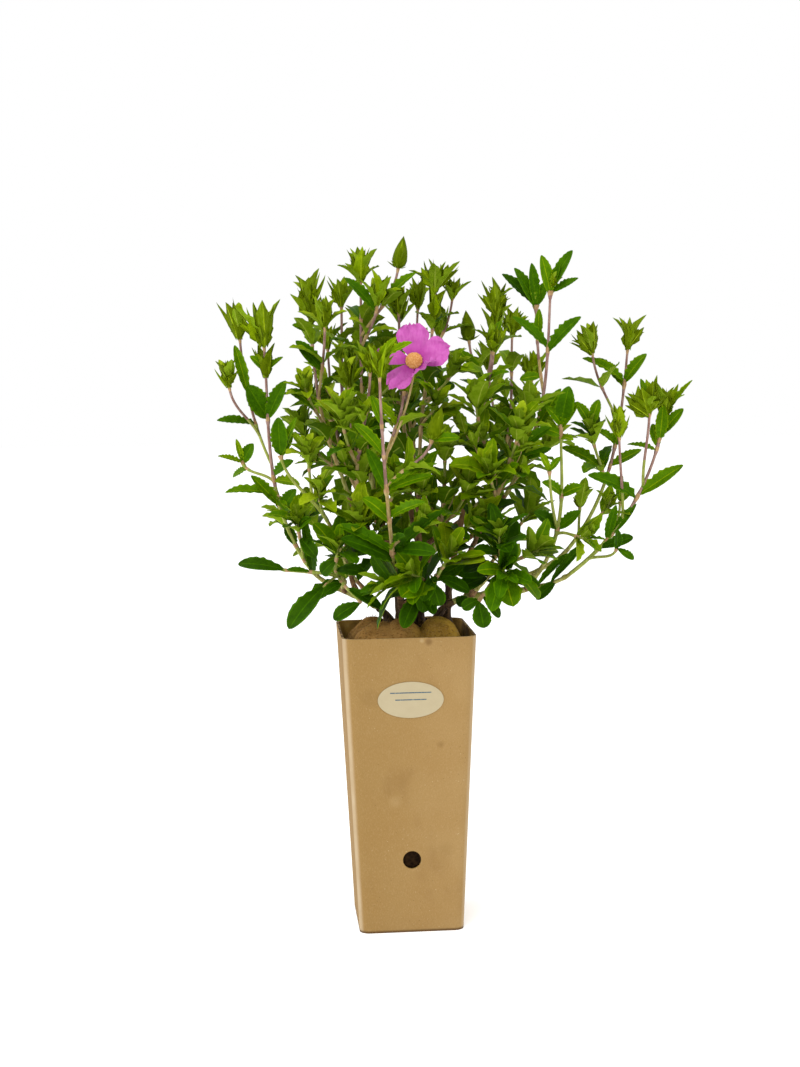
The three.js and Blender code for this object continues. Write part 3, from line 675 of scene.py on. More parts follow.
def paper_finish():
    """The label's cream paper, with a faint tooth."""
    finish = Finish("label_paper", tint(172, 163, 133), 0.62)
    finish.colour(finish.mix(finish.noise(160, 3.0), tint(166, 154, 125), tint(159, 146, 117)))
    finish.relief(finish.noise(2600, 2.0), 0.00004, 0.4)
    return finish.material


def ink_finish():
    """The thin ruled lines on the label, a little worn."""
    finish = Finish("ruled_ink", tint(66, 86, 96), 0.6)
    wear_and_side_light = finish.noise(1400, 2.0).above(0.58, 0.08)
    finish.colour(finish.mix(wear_and_side_light * 0.6, tint(64, 84, 96), tint(130, 136, 124)))
    return finish.material


def wrap_finish():
    """Coir felt round the root ball: matted fibres in browns, greener on its right."""
    finish = Finish("coir_wrap", tint(104, 77, 36), 0.95, 0.05)
    finish.colour(finish.mix(finish.axis("X").above(0.004, 0.012), tint(156, 116, 66), tint(160, 126, 52)))
    mat = finish.noise(90, 5.0)
    finish.coat(mat.above(0.5, 0.16) * 0.6, tint(94, 66, 30))
    runs = finish.noise(900, 3.0, finish.stretched(1, 0.5, 1.6))
    finish.coat(runs.above(0.56, 0.08) * 0.45, tint(150, 120, 72))
    knots = finish.noise(700, 3.0, finish.stretched(0.6, 1.3, 1))
    finish.coat(knots.above(0.6, 0.07) * 0.5, tint(66, 45, 20))
    finish.relief(runs + knots + mat * 0.5, 0.0006, 0.8)
    return finish.material


def compost_and_shade_finish():
    """Dark crumbly compost in the hollow round the stems, also used low on the ball as painted shade behind
    the drain hole.
    """
    finish = Finish("compost", tint(38, 28, 16), 0.95, 0.05)
    crumbs = finish.cells(420)
    finish.colour(finish.mix(crumbs, tint(17, 12, 9), tint(44, 32, 21)))
    finish.relief(crumbs + finish.noise(300), 0.0012, 0.9)
    return finish.material


def fibre_finish():
    """A dry coir hair."""
    finish = Finish("coir_fibre", tint(124, 94, 50), 0.85, 0.05)
    finish.colour(finish.mix(finish.noise(90), tint(98, 70, 36), tint(146, 114, 68)))
    return finish.material


def bark_finish(name, dark, light, crack, grain):
    """Bark in long fissured strips."""
    finish = Finish(name, dark, 0.85)
    strips = finish.noise(grain, 4.0, finish.stretched(1, 1, 0.3))
    finish.coat(strips.above(0.5, 0.12), light)
    cracks = finish.noise(grain * 2.1, 3.0, finish.stretched(1, 1, 0.22)).above(0.6, 0.05)
    finish.coat(cracks * 0.8, crack)
    finish.rough(strips * 0.25 + 0.65)
    finish.relief(strips - cracks * 0.6, 0.0005, 0.8)
    return finish.material


def twig_finish(name, colour, light):
    """A young twig's skin: a soft bloom of short hairs over the colour."""
    finish = Finish(name, colour, 0.62, 0.15)
    bloom = finish.noise(480, 3.0, finish.stretched(1, 1, 0.35))
    finish.coat(bloom.above(0.52, 0.14), light)
    finish.relief(bloom, 0.0002, 0.5)
    return finish.material


# A leaf's sheen is yellow-green, as light that has passed through its hairs.
LEAF_SHEEN = (0.85, 1.0, 0.3, 1)


def bract_finish(name, colour, light):
    """A bract's or bud's skin: fine ribs along it under short hairs."""
    finish = Finish(name, colour, 0.65, 0.05)
    finish.shader.inputs["Specular Tint"].default_value = LEAF_SHEEN
    ribs = finish.noise(520, 2.0, finish.stretched(1, 1, 0.3))
    finish.coat(ribs.above(0.52, 0.16) * 0.6, light)
    finish.relief(ribs, 0.0001, 0.3)
    return finish.material


def leaf_finish(name, colour, light, roughness, shine=0.07):
    """A leaf's face: a plain colour with a slight mottle, wrinkled between its small paler veins."""
    finish = Finish(name, colour, roughness, shine)
    finish.shader.inputs["Specular Tint"].default_value = LEAF_SHEEN
    mottle = finish.noise(210, 2.0)
    finish.coat(mottle.above(0.5, 0.2), light)
    wrinkles = finish.cells(760)
    finish.coat(wrinkles.above(0.56, 0.16) * 0.2, tuple(min(1, part * 1.4) for part in light))
    finish.rough(wrinkles * 0.18 + (roughness - 0.06))
    finish.relief(wrinkles + mottle * 0.6, 0.0002, 0.25)
    return finish.material


def petal_finish(name, colour, deep):
    """Crumpled tissue, finely veined and deeper towards the flower's heart."""
    finish = Finish(name, colour, 0.6, 0.15)
    veins = finish.noise(420, 3.0, finish.stretched(1.4, 1, 0.6))
    finish.coat(veins.above(0.52, 0.12) * 0.3, deep)
    away = finish.distance(tuple(SHRUB @ FLOWER_HEART))
    finish.coat((1 - away.above(0.0105, 0.006)) * 0.8, deep)
    finish.relief(veins + finish.noise(150, 3.0), 0.0007, 0.6)
    return finish.material


def stamen_finish():
    """Anthers, grainy with pollen."""
    finish = Finish("anthers", tint(202, 150, 94), 0.75, 0.1)
    grains = finish.noise(900, 2.0)
    finish.colour(finish.mix(grains.above(0.5, 0.1), tint(208, 158, 100), tint(192, 134, 76)))
    finish.relief(grains, 0.0003, 0.6)
    return finish.material


class Shape:
    """A small mesh that is copied many times: its places, its faces, and which part of it each face is."""

    def __init__(self, bm):
        bm.verts.index_update()
        self.spots = np.array([vert.co[:] for vert in bm.verts])
        self.corners = np.array([vert.index for face in bm.faces for vert in face.verts])
        self.sides = np.array([len(face.verts) for face in bm.faces])
        self.parts = np.array([face.material_index for face in bm.faces])
        bm.free()


class Heap:
    """Many small shapes joined into one mesh, each part of each with its own finish."""

    def __init__(self, name):
        self.name = name
        self.spots = []
        self.corners = []
        self.sides = []
        self.tones = []
        self.count = 0

    def add(self, shape, spots, tones):
        self.spots.append(spots)
        self.corners.append(shape.corners + self.count)
        self.sides.append(shape.sides)
        self.tones.append(np.take(tones, shape.parts))
        self.count += len(spots)

    def copy(self, shape, place, tones):
        turn = np.array(place.to_3x3())
        self.add(shape, shape.spots @ turn.T + np.array(place.translation), tones)

    def mesh(self):
        """The heap in metres, turned as the shrub stands in its pot."""
        spots = np.concatenate(self.spots)
        corners = np.concatenate(self.corners)
        sides = np.concatenate(self.sides)
        turn = np.array(SHRUB.to_3x3())
        mesh = bpy.data.meshes.new(self.name)
        mesh.vertices.add(len(spots))
        mesh.vertices.foreach_set("co", (spots @ turn.T).ravel())
        mesh.loops.add(len(corners))
        mesh.loops.foreach_set("vertex_index", corners)
        mesh.polygons.add(len(sides))
        mesh.polygons.foreach_set("loop_start", np.cumsum(sides) - sides)
        mesh.polygons.foreach_set("material_index", np.concatenate(self.tones))
        mesh.update(calc_edges=True)
        mesh.validate()
        return mesh


def show(name, mesh, finishes, nodes=(), sharp=50):
    """Puts a finished mesh in the scene as a piece of the plant."""
    mesh.shade_smooth()
    mesh.set_sharp_from_angle(angle=math.radians(sharp))
    piece = bpy.data.objects.new(name, mesh)
    bpy.context.scene.collection.objects.link(piece)
    for finish in finishes:
        mesh.materials.append(finish)
    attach(piece, "root")
    if nodes:
        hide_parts(*nodes)
    return piece


# The parts of a leaf's faces, which take their finishes in this order.
BLADE, RIB, MARGIN, UNDER, UNDER_RIB = range(5)
LEAF_SPREAD = (-1, -0.8, -0.06, 0.06, 0.8, 1)
UNDER_SPREAD = (-1, -0.07, 0.07, 1)
LEAF_COLUMNS = len(LEAF_SPREAD) - 1
SHEET_THICK = 0.012

# A leaf's rows crowd towards its tip, and its margin is crisped into small lobes.
TIP_ROWS = 1.35
LOBE = 0.19
SHOWN_LOBE = 0.1
BROAD_LOBE = 0.055


def thin_sheet(columns, rows, rule, under=2, spread=None):
    """A grid moved by a rule, over a coarser underside a hair below it that it meets along the outline."""
    bm = bmesh.new()
    top = bmesh.ops.create_grid(bm, x_segments=columns, y_segments=rows, size=1)["verts"]
    for face in bm.faces:
        column = round((face.calc_center_median().x + 1) * columns / 2 - 0.5)
        if spread and column in (0, columns - 1):
            face.material_index = MARGIN
        elif spread and column == columns // 2:
            face.material_index = RIB
    if spread:
        for vert in top:
            vert.co.x = spread[round((vert.co.x + 1) * columns / 2)]
    below = bmesh.ops.create_grid(bm, x_segments=under, y_segments=rows, size=1)["verts"]
    lower = list({face for vert in below for face in vert.link_faces})
    bmesh.ops.reverse_faces(bm, faces=lower)
    for face in lower:
        centred = spread and abs(face.calc_center_median().x) < 0.1
        face.material_index = UNDER_RIB if centred else UNDER
    if spread:
        for vert in below:
            vert.co.x = UNDER_SPREAD[round((vert.co.x + 1) * under / 2)]
    below = set(below)
    for vert in bm.verts:
        u, v = vert.co.x, (vert.co.y + 1) / 2
        vert.co = rule(u, v)
        if vert in below and abs(u) < 0.999 and 0.001 < v < 0.999:
            vert.co.z -= SHEET_THICK
    bmesh.ops.remove_doubles(bm, verts=bm.verts, dist=1e-5)
    return Shape(bm)


def bent(v, start, bend):
    """A point along a line of length 1 that starts at one angle and bends down steadily."""
    y = (math.sin(start) - math.sin(start - bend * v)) / bend
    z = (math.cos(start - bend * v) - math.cos(start)) / bend
    return y, z, start - bend * v


def leaf_shape(seed, belly, blunt, fold, crisp, bend, columns=LEAF_COLUMNS, rows=8, lobe=LOBE):
    """A leaf one unit long and wide: belly sets where it is widest, blunt how round it ends."""
    roll = random.Random(seed)
    start = bend * roll.uniform(0.3, 0.6)
    twist = roll.uniform(-0.35, 0.35)
    swerve = roll.uniform(-0.12, 0.12)
    waves = [roll.uniform(-1, 1) for _ in range(2 * (rows + 1))]

    def rule(u, v):
        row = round(v * rows)
        v = 1 - (1 - v) ** TIP_ROWS
        wide = math.sin(math.pi * v**belly) ** blunt if 0 < row < rows else 0
        beat = (-1) ** row * 0.7 + waves[row + (rows + 1 if u > 0 else 0)] * 0.5
        edge = abs(u) ** 4 * math.sin(math.pi * v**0.7)
        y, z, slope = bent(v, start, bend)
        x = u * wide / 2 * (1 + lobe * beat * edge) + swerve * v * v
        lift = fold * abs(u) * wide * 0.19 * (1 - 0.3 * abs(u)) + twist * u * wide * v * 0.2
        lift += crisp * beat * abs(u) * math.sin(math.pi * v**0.7)
        return Vector((x, y - lift * math.sin(slope), z + lift * math.cos(slope)))

    if columns == LEAF_COLUMNS:
        return thin_sheet(columns, rows, rule, len(UNDER_SPREAD) - 1, LEAF_SPREAD)
    return thin_sheet(columns, rows, rule)


def bud_shape(ribs=5, rows=7):
    """A pointed bud one unit long and wide, ribbed where its sepals meet and twisted a little."""
    bm = bmesh.new()
    bmesh.ops.create_uvsphere(bm, u_segments=ribs * 2, v_segments=rows, radius=1)
    for vert in bm.verts:
        x, y, z = vert.co
        v = (1 - math.acos(max(-1, min(1, z))) / math.pi)
        turn = math.atan2(y, x) + v * 0.9
        wide = 0.5 * math.sin(math.pi * v**0.62) ** 0.9 if 0 < v < 1 else 0
        wide *= 1 + 0.13 * math.cos(ribs * (turn - v * 0.9))
        vert.co = Vector((wide * math.cos(turn), v, wide * math.sin(turn)))
    bmesh.ops.recalc_face_normals(bm, faces=bm.faces)
    return Shape(bm)


RODS = {}


def rod_shape(sides, rings):
    """A capped rod whose faces are numbered as parts by their ring, from its foot up."""
    if (sides, rings) not in RODS:
        bm = bmesh.new()
        bmesh.ops.create_cone(bm, cap_ends=True, segments=sides, radius1=1, radius2=1, depth=1)
        upright = [edge for edge in bm.edges if abs(edge.verts[0].co.z - edge.verts[1].co.z) > 0.5]
        bmesh.ops.subdivide_edges(bm, edges=upright, cuts=rings - 1)
        for face in bm.faces:
            middle = face.calc_center_median().z + 0.5
            face.material_index = min(rings - 1, int(middle * rings))
        RODS[sides, rings] = Shape(bm)
    return RODS[sides, rings]


class Way:
    """A limb or twig: a curve that leaves along one direction and arrives along another."""

    def __init__(self, start, leaving, end, arriving, thick, thin, step=3.0):
        reach = (end - start).length * BEND
        handles = (start, start + leaving * reach, end - arriving * reach, end)
        self.arriving = arriving
        self.rings = max(3, math.ceil((end - start).length / step))
        self.spots = interpolate_bezier(*handles, self.rings + 1)
        self.length = sum((b - a).length for a, b in zip(self.spots, self.spots[1:]))
        self.thick = thick
        self.thin = thin
        side = (end - start).cross(UP)
        self.side = side.normalized() if side.length > 1 else Vector((1, 0, 0))

    def at(self, share):
        step = min(int(share * self.rings), self.rings - 1)
        return self.spots[step].lerp(self.spots[step + 1], share * self.rings - step)

    def line(self, share):
        return (self.at(min(1, share + 0.02)) - self.at(max(0, share - 0.02))).normalized()

    def frame(self, share):
        line = self.line(share)
        across = (self.side - line * self.side.dot(line)).normalized()
        return self.at(share), line, across, across.cross(line)

    def radius(self, share):
        return self.thick + (self.thin - self.thick) * share

    def bulge(self, share, spread):
        """How far each ring stands out near a joint, from 0 to 1."""
        shares = np.arange(self.rings + 1) / self.rings
        return np.exp(-(((shares - share) * self.length / spread) ** 2))

    def tube(self, heap, sides, tones, swell=0, bark=0.0):
        """Adds the limb's skin: rings round its curve, swollen at its joints, with the bark's relief."""
        shape = rod_shape(sides, self.rings)
        ring = np.rint((shape.spots[:, 2] + 0.5) * self.rings).astype(int)
        frames = [self.frame(i / self.rings) for i in range(self.rings + 1)]
        middle, _, across, other = (np.array([list(f[k]) for f in frames]) for k in range(4))
        radii = np.array([self.radius(i / self.rings) for i in range(self.rings + 1)]) + swell
        outward = across[ring] * shape.spots[:, :1] + other[ring] * shape.spots[:, 1:2]
        spots = middle[ring] + outward * radii[ring][:, None]
        if bark:
            rough = [noise.noise(Vector((x * 0.5, y * 0.5, z * 0.16))) for x, y, z in spots]
            spots += outward * (np.array(rough) * bark * radii[ring])[:, None]
        heap.add(shape, spots, tones)


def set_on(root, along, face, width, length, depth):
    """Where a unit leaf, bract, bud or petal goes: its root, its line, its upper face and its sizes."""
    place = Matrix((along.cross(face) * width, along * length, face * depth)).transposed().to_4x4()
    place.translation = root
    return place


def spoke(across, other, turn):
    """The direction out from a line, at a turn round it."""
    return across * math.cos(turn) + other * math.sin(turn)


def lean_off(way, share, turn, rise):
    """A root on a limb, a direction that leans off its line, and the upper face that goes with it."""
    middle, line, across, other = way.frame(share)
    out = spoke(across, other, turn)
    along = (out * math.cos(rise) + line * math.sin(rise)).normalized()
    face = line * 0.7 + UP * 0.5
    face = (face - along * face.dot(along)).normalized()
    return middle + out * way.radius(share) * 0.5, along, face


def fork_way(parent, share, goal, angle):
    """The direction that a side limb leaves in: forked off its parent's line, towards where it is going."""
    middle, line, _, _ = parent.frame(share)
    way = goal - middle
    way = (way - line * way.dot(line)).normalized()
    return way * math.sin(angle) + line * math.cos(angle)


def grow_limbs():
    """The stem or bough of each mass, the stems before the boughs that they carry."""
    limbs = {}
    for name, plan in MASSES.items():
        entry = Vector(plan["entry"])
        leader = (Vector(plan["shoots"][0][:3]) - entry).normalized()
        source, share = plan["from"]
        if isinstance(source, str):
            leaving = fork_way(limbs[source], share, entry, LIMB_FORK)
            start = limbs[source].at(share)
            thick = BOUGH_FOOT
        else:
            leaving = UP
            start = Vector((source, share, EARTH - 4))
            thick = STEM_FOOT
        arriving = ((entry - start).normalized() * STEM_SWING + leader).normalized()
        limbs[name] = Way(start, leaving, entry, arriving, thick, LIMB_END, 2.2)
    return limbs


class Shoot:
    """A twig of a mass, with what it ends in."""

    def __init__(self, way, ending, low):
        self.way = way
        self.ending = ending
        self.low = low


def grow_shoots(name, limbs):
    """The leader and side shoots of a mass, each from the shoot that it leaves."""
    plan = MASSES[name]
    low = plan.get("low", False)
    shoots = []
    for x, y, z, ending, *fork in plan["shoots"]:
        tip = Vector((x, y, z))
        if fork:
            carrier = shoots[fork[0]].way
            leaving = fork_way(carrier, fork[1], tip, TWIG_FORK)
            root = carrier.at(fork[1])
        else:
            leaving = limbs[name].arriving
            root = limbs[name].at(1)
        arriving = (tip - root).normalized()
        if not low:
            arriving = (arriving * UPTURN + UP).normalized()
        thick = SHOOT_FOOT if fork else LEADER_FOOT
        shoots.append(Shoot(Way(root, leaving, tip, arriving, thick, TWIG_END), ending, low))
    return shoots


# Leaf tones from a shoot's tip down into the shade: the face, and the paler felted underside.
LEAF_TONES = [
    ("leaf_tip", tint(116, 136, 14), tint(136, 154, 32)),
    ("leaf_young", tint(98, 121, 5), tint(116, 138, 14)),
    ("leaf_fresh", tint(80, 108, 1), tint(96, 123, 6)),
    ("leaf_grown", tint(61, 94, 0), tint(74, 108, 2)),
    ("leaf_deep", tint(46, 79, 0), tint(57, 92, 0)),
    ("leaf_shade", tint(34, 62, 0), tint(43, 73, 0)),
]
RIB_TONE = len(LEAF_TONES)
PALE_UNDER = RIB_TONE + 1
DULL_UNDER = RIB_TONE + 2
BUD_TONE = RIB_TONE + 3
BRACT_TONE = RIB_TONE + 4

TWIG_TONES = [
    ("twig_purple", tint(120, 90, 82), tint(146, 118, 108)),
    ("twig_tan", tint(138, 118, 72), tint(160, 142, 96)),
    ("twig_green", tint(120, 130, 54), tint(142, 150, 76)),
    ("twig_joint", tint(144, 114, 78), tint(164, 136, 100)),
]
PURPLE, TAN, GREEN, JOINT = range(len(TWIG_TONES))


def foliage_finishes():
    """The leaves' tones, then the rib, the two undersides, the sepals and the bracts."""
    return [leaf_finish(name, colour, light, 0.5) for name, colour, light in LEAF_TONES] + [
        leaf_finish("leaf_rib", tint(124, 142, 40), tint(142, 158, 62), 0.6, 0.03),
        leaf_finish("leaf_under", tint(96, 122, 18), tint(112, 136, 32), 0.7, 0.03),
        leaf_finish("leaf_under_dull", tint(66, 94, 6), tint(79, 108, 14), 0.7, 0.03),
        bract_finish("bud_sepal", tint(72, 88, 2), tint(94, 110, 16)),
        bract_finish("bract", tint(88, 108, 6), tint(112, 132, 34)),
    ]


def twig_finishes():
    """The twigs' tones, in the order of their numbers."""
    return [twig_finish(name, colour, light) for name, colour, light in TWIG_TONES]


class Foliage:
    """The leaves, heads and twigs of one mass, grown with its own seeded numbers."""

    def __init__(self, name, seed, leaves, heads, twigs):
        self.name = name
        self.open = name in OPEN_MASSES
        self.leaves = leaves
        self.heads = heads
        self.twigs = twigs
        self.roll = random.Random(seed)

    def pick(self, kinds):
        return kinds[self.roll.randrange(len(kinds))]

    def leaf(self, way, share, turn, rise, length, width, age, fine=False):
        """Adds one leaf; age 0 is at a shoot's tip and 1 is full grown."""
        root, along, face = lean_off(way, share, turn, rise)
        if fine:
            kinds = SMALL_LEAVES
        elif self.low:
            kinds = LOW_LEAVES
        else:
            kinds = YOUNG_LEAVES if age < 0.4 else OLD_LEAVES
        self.blade(root, along, face, length, width, age, kinds, UNLIKE)

    def own_leaf(self, way, share, tip, width):
        """Adds a leaf from its foot on a twig to where its tip is seen, with its face forward and up."""
        root = way.at(share)
        reach = tip - root
        along = reach.normalized()
        face = (OWN_FACE - along * OWN_FACE.dot(along)).normalized()
        kinds = BROAD_LEAVES if tip.z < BROAD_BELOW else SHOWN_LEAVES
        length = reach.length * OWN_STRETCH
        self.blade(root, along, face, length, width, min(0.9, width / 13), kinds, OWN_UNLIKE)

    def blade(self, root, along, face, length, width, age, kinds, unlike):
        """Adds a leaf's mesh in its tone, unless it would grow into the pot."""
        if in_pot(root + along * length) or in_pot(root + along * length * 0.6):
            return
        shade = SHADE_FALL if root.z < SHADE_BELOW else 0
        depth = age * TONE_FALL + self.bias + shade + self.roll.gauss(0, unlike)
        tone = max(0, min(len(LEAF_TONES) - 1, round(depth)))
        rib = max(0, tone - (2 if tone < 4 else 1))
        under = PALE_UNDER if age < 0.75 else DULL_UNDER
        place = set_on(root, along, face, width, length, length)
        self.leaves.copy(self.pick(kinds), place, [tone, rib, max(0, tone - 1), under, RIB_TONE])

    def pairs(self, shoot):
        """Opposite pairs of leaves down a shoot, each a quarter turn on from the last and larger."""
        way, roll = shoot.way, self.roll
        low = LOW_LEAF if shoot.low else {"size": 1, "width": 1, "hang": 0}
        quarter = roll.uniform(0, math.pi)
        down = FIRST_PAIR[shoot.ending]
        step = PAIR_STEP[shoot.ending]
        joints = []
        while down < way.length - LAST_PAIR:
            age = min(1, down / GROWN_BELOW)
            grown = (YOUNG + (1 - YOUNG) * age) * low["size"]
            quarter += math.pi / 2
            share = 1 - down / way.length
            joints.append(share)
            for half in (0, 1):
                turn = quarter + half * math.pi + roll.uniform(-0.5, 0.5) * UNEVEN["turn"]
                lift = RISE_YOUNG + (RISE_OLD - RISE_YOUNG) * age - low["hang"] * age
                rise = lift + roll.uniform(-0.5, 0.5) * UNEVEN["rise"]
                length = LEAF_LENGTH * grown * (1 + roll.uniform(-0.5, 0.5) * UNEVEN["length"])
                width = LEAF_WIDTH * length / LEAF_LENGTH * low["width"] * roll.uniform(0.9, 1.15)
                self.leaf(way, share, turn, rise, length, width, age)
                if down > SIDE_FROM and roll.random() < (OPEN_SIDE if self.open else SIDE_CHANCE):
                    self.side_twig(way, share, turn + roll.uniform(-0.3, 0.3), age, shoot.low)
                elif roll.random() < (OPEN_TUFT if self.open else TUFT_CHANCE):
                    self.tuft(way, share, turn, age)
            down += step * (OPEN_STEP if self.open else 1)
            step = max(PAIR_STEP_LEAST, step * PAIR_CLOSER)
        return joints

    def tuft(self, way, share, turn, age):
        """The small pair of leaves in a leaf's armpit."""
        for side in (-1, 1):
            length = self.roll.uniform(7, 12) + 3 * age
            rise = self.roll.uniform(0.75, 1.1)
            self.leaf(way, share, turn + side * 0.5, rise, length, length * 0.36, age * 0.4, True)

    def side_twig(self, way, share, turn, age, low):
        """A short twig in a leaf's armpit, with a rosette at its tip and on a long one a pair halfway."""
        roll = self.roll
        root, line, across, other = way.frame(share)
        leaving = spoke(across, other, turn) * math.sin(SIDE_FORK) + line * math.cos(SIDE_FORK)
        length = roll.uniform(*SIDE_LENGTH)
        tip = root + leaving * length * 0.75 + UP * length * (0.1 if low else 0.35)
        arriving = ((tip - root).normalized() + UP * (0.1 if low else 0.9)).normalized()
        twig = Way(root, leaving, tip, arriving, SIDE_FOOT, SIDE_END, 4.0)
        twig.tube(self.twigs, 4, np.full(twig.rings, GREEN if age < 0.8 else TAN))
        self.rosette(twig, 0.8, 3)
        if length > PAIRED_TWIG:
            quarter = roll.uniform(0, math.pi)
            for half in (0, 1):
                turn = quarter + half * math.pi
                self.leaf(twig, 0.45, turn, 0.5, roll.uniform(15, 22), roll.uniform(6, 8), 0.5)

    def rosette(self, way, scale, pairs):
        """Young leaves at a tip, in pairs that open as they go down."""
        roll = self.roll
        turn = roll.uniform(0, math.pi)
        for i, (rise, length) in enumerate(ROSETTE[:pairs]):
            share = 1 - min(0.5, (0.4 + 2.8 * i) / way.length)
            for half in (0, 1):
                aside = turn + half * math.pi + roll.uniform(-0.25, 0.25)
                size = length * scale * roll.uniform(0.85, 1.15)
                steep = rise + roll.uniform(-0.15, 0.15)
                self.leaf(way, share, aside, steep, size, size * 0.42, 0.13 * i, size < 13)
            turn += math.pi / 2

    def bud(self, root, line, face, length, width):
        self.heads.copy(BUD, set_on(root, line, face, width, length, width), [BUD_TONE])

    def bract(self, root, line, out, lean, size, shape):
        """A bract that stands off a stem's line by a lean, its hollow side towards the line."""
        along = (line + out * lean).normalized()
        inner = (along * out.dot(along) - out).normalized()
        tone = BRACT_TONE if self.roll.random() < 0.7 else 1
        back = BUD_TONE if self.roll.random() < 0.35 else tone
        length, width = size
        self.heads.copy(shape, set_on(root, along, inner, width, length, length), [tone, 0, tone, back, 0])

    def goblet(self, root, line, size):
        """A bud held in crossed pairs of long pointed bracts, with slender tips between them."""
        roll = self.roll
        face = line.orthogonal().normalized()
        across = line.cross(face)
        first = roll.uniform(0, math.pi)
        length, width = GOBLET_BUD
        self.bud(root, line, face, length * size, width * size)
        for pair, (length, width, lean) in enumerate(GOBLET_BRACTS):
            for half in (0, 1):
                turn = first + (pair * 0.45 + half) * math.pi + roll.uniform(-0.3, 0.3)
                out = spoke(face, across, turn)
                bulk = (length * size * roll.uniform(0.8, 1.15), width * size * roll.uniform(0.85, 1.1))
                leaning = lean + roll.uniform(-0.06, 0.14)
                foot = root + out * (1.9 - 0.4 * pair) * size
                self.bract(foot, line, out, leaning, bulk, self.pick(BOATS))
        for _ in range(roll.choice((2, 3, 3, 4))):
            out = spoke(face, across, roll.uniform(0, 2 * math.pi))
            bulk = (roll.uniform(15, 23) * size, 2.3)
            leaning = roll.uniform(0.1, 0.55)
            self.bract(root + out * 1.8 * size, line, out, leaning, bulk, self.pick(SLENDER))

    def head(self, shoot, size):
        """What a budded shoot ends in: one to three goblets of bracts over pairs of crisped young leaves."""
        way, roll = shoot.way, self.roll
        middle, line, across, other = way.frame(1)
        self.goblet(middle - line * 0.8, line, size * roll.uniform(0.95, 1.05))
        first = roll.uniform(0, 2 * math.pi)
        for i in range(roll.choice((1, 1, 2))):
            out = spoke(across, other, first + i * 2.6)
            along = (line + out * roll.uniform(0.5, 0.8)).normalized()
            stem = Way(way.at(1) - line * 2, along, middle + along * 4, along, 0.6, 0.6, 2.0)
            stem.tube(self.twigs, 4, np.full(stem.rings, GREEN))
            self.goblet(middle + along * 3, along, size * roll.uniform(0.55, 0.75))
        for i in range(roll.choice((1, 1, 2))):
            for half in (0, 1):
                turn = first + i * math.pi / 2 + half * math.pi + roll.uniform(-0.25, 0.25)
                rise = (1.05, 0.8)[i] + roll.uniform(-0.25, 0.25)
                length = roll.uniform(18, 24) * size
                self.leaf(way, 1 - (0.5 + i * 2.4) / way.length, turn, rise, length, length * 0.3, 0.1)

    def single(self, shoot):
        """One large pointed bud with a fringe of short bracts at its foot."""
        roll = self.roll
        middle, line, across, other = shoot.way.frame(1)
        self.bud(middle - line, line, across, *SINGLE_BUD)
        for i in range(3):
            out = spoke(across, other, i * 2 * math.pi / 3)
            self.bract(middle + out * 2.6, line, out, 0.08, (roll.uniform(16, 20), 5.5), BOATS[0])
        for i in range(FRINGE_BRACTS):
            out = spoke(across, other, i * 2 * math.pi / FRINGE_BRACTS)
            bulk = (roll.uniform(4, 8), 1.8)
            self.bract(middle + out * 2, line, out, roll.uniform(0.7, 2.5), bulk, SLENDER[0])
        for _ in range(2):
            out = spoke(across, other, roll.uniform(0, 2 * math.pi))
            bulk = (roll.uniform(14, 19), 2.2)
            self.bract(middle + out * 2, line, out, roll.uniform(0.3, 0.6), bulk, SLENDER[1])

    def limb_leaves(self, limb):
        """Old leaves in pairs on the upper part of a limb, some of them gone, in dark tones that are partly
        painted shade inside the crown.
        """
        roll = self.roll
        self.bias = LIMB_BIAS
        quarter = roll.uniform(0, math.pi)
        for down in np.arange(5, limb.length * LIMB_LEAVED, LIMB_PAIR_STEP):
            quarter += math.pi / 2
            for half in (0, 1):
                if roll.random() < LIMB_LEAF_CHANCE:
                    turn = quarter + half * math.pi + roll.uniform(-0.4, 0.4)
                    length = roll.uniform(20, 32)
                    rise = roll.uniform(0.1, 0.7)
                    self.leaf(limb, 1 - down / limb.length, turn, rise, length, length * 0.44, 1.0)

    def grow(self, limb, shoots):
        """Grows all that stands on a mass's shoots and limb, shoot by shoot."""
        own = OWN_LEAVES.get(self.name, ())
        for number, shoot in enumerate(shoots):
            key = (self.name, number)
            self.bias = self.roll.uniform(*SHOOT_BIAS) + (LOW_BIAS if shoot.low else 0)
            self.low = shoot.low
            joints = [] if key in BARE else self.pairs(shoot)
            for share, size, aside in MORE_HEADS.get(key, ()):
                line = (shoot.way.line(share) + Vector((aside, 0, 0))).normalized()
                self.goblet(shoot.way.at(share), line, size)
            if shoot.ending == "budded":
                self.head(shoot, HEAD_SIZES.get(key, HEAD_SIZE))
            elif shoot.ending == "single":
                self.single(shoot)
            elif key not in BARE:
                usual = OPEN_ROSETTE if self.open else ROSETTE_SIZE
                self.rosette(shoot.way, ROSETTE_SIZES.get(key, usual), len(ROSETTE))
            joints += [share for carrier, share, _, _ in own if carrier == number]
            self.skin(shoot, joints)
        for carrier, share, tip, width in own:
            dark = tip[2] > OWN_DARK_ABOVE or tip[2] < SHADE_BELOW
            self.bias = OWN_BIAS_DARK if dark else OWN_BIAS
            way = limb if carrier < 0 else shoots[carrier].way
            self.own_leaf(way, share, Vector(tip), width)
        if not self.open:
            self.limb_leaves(limb)

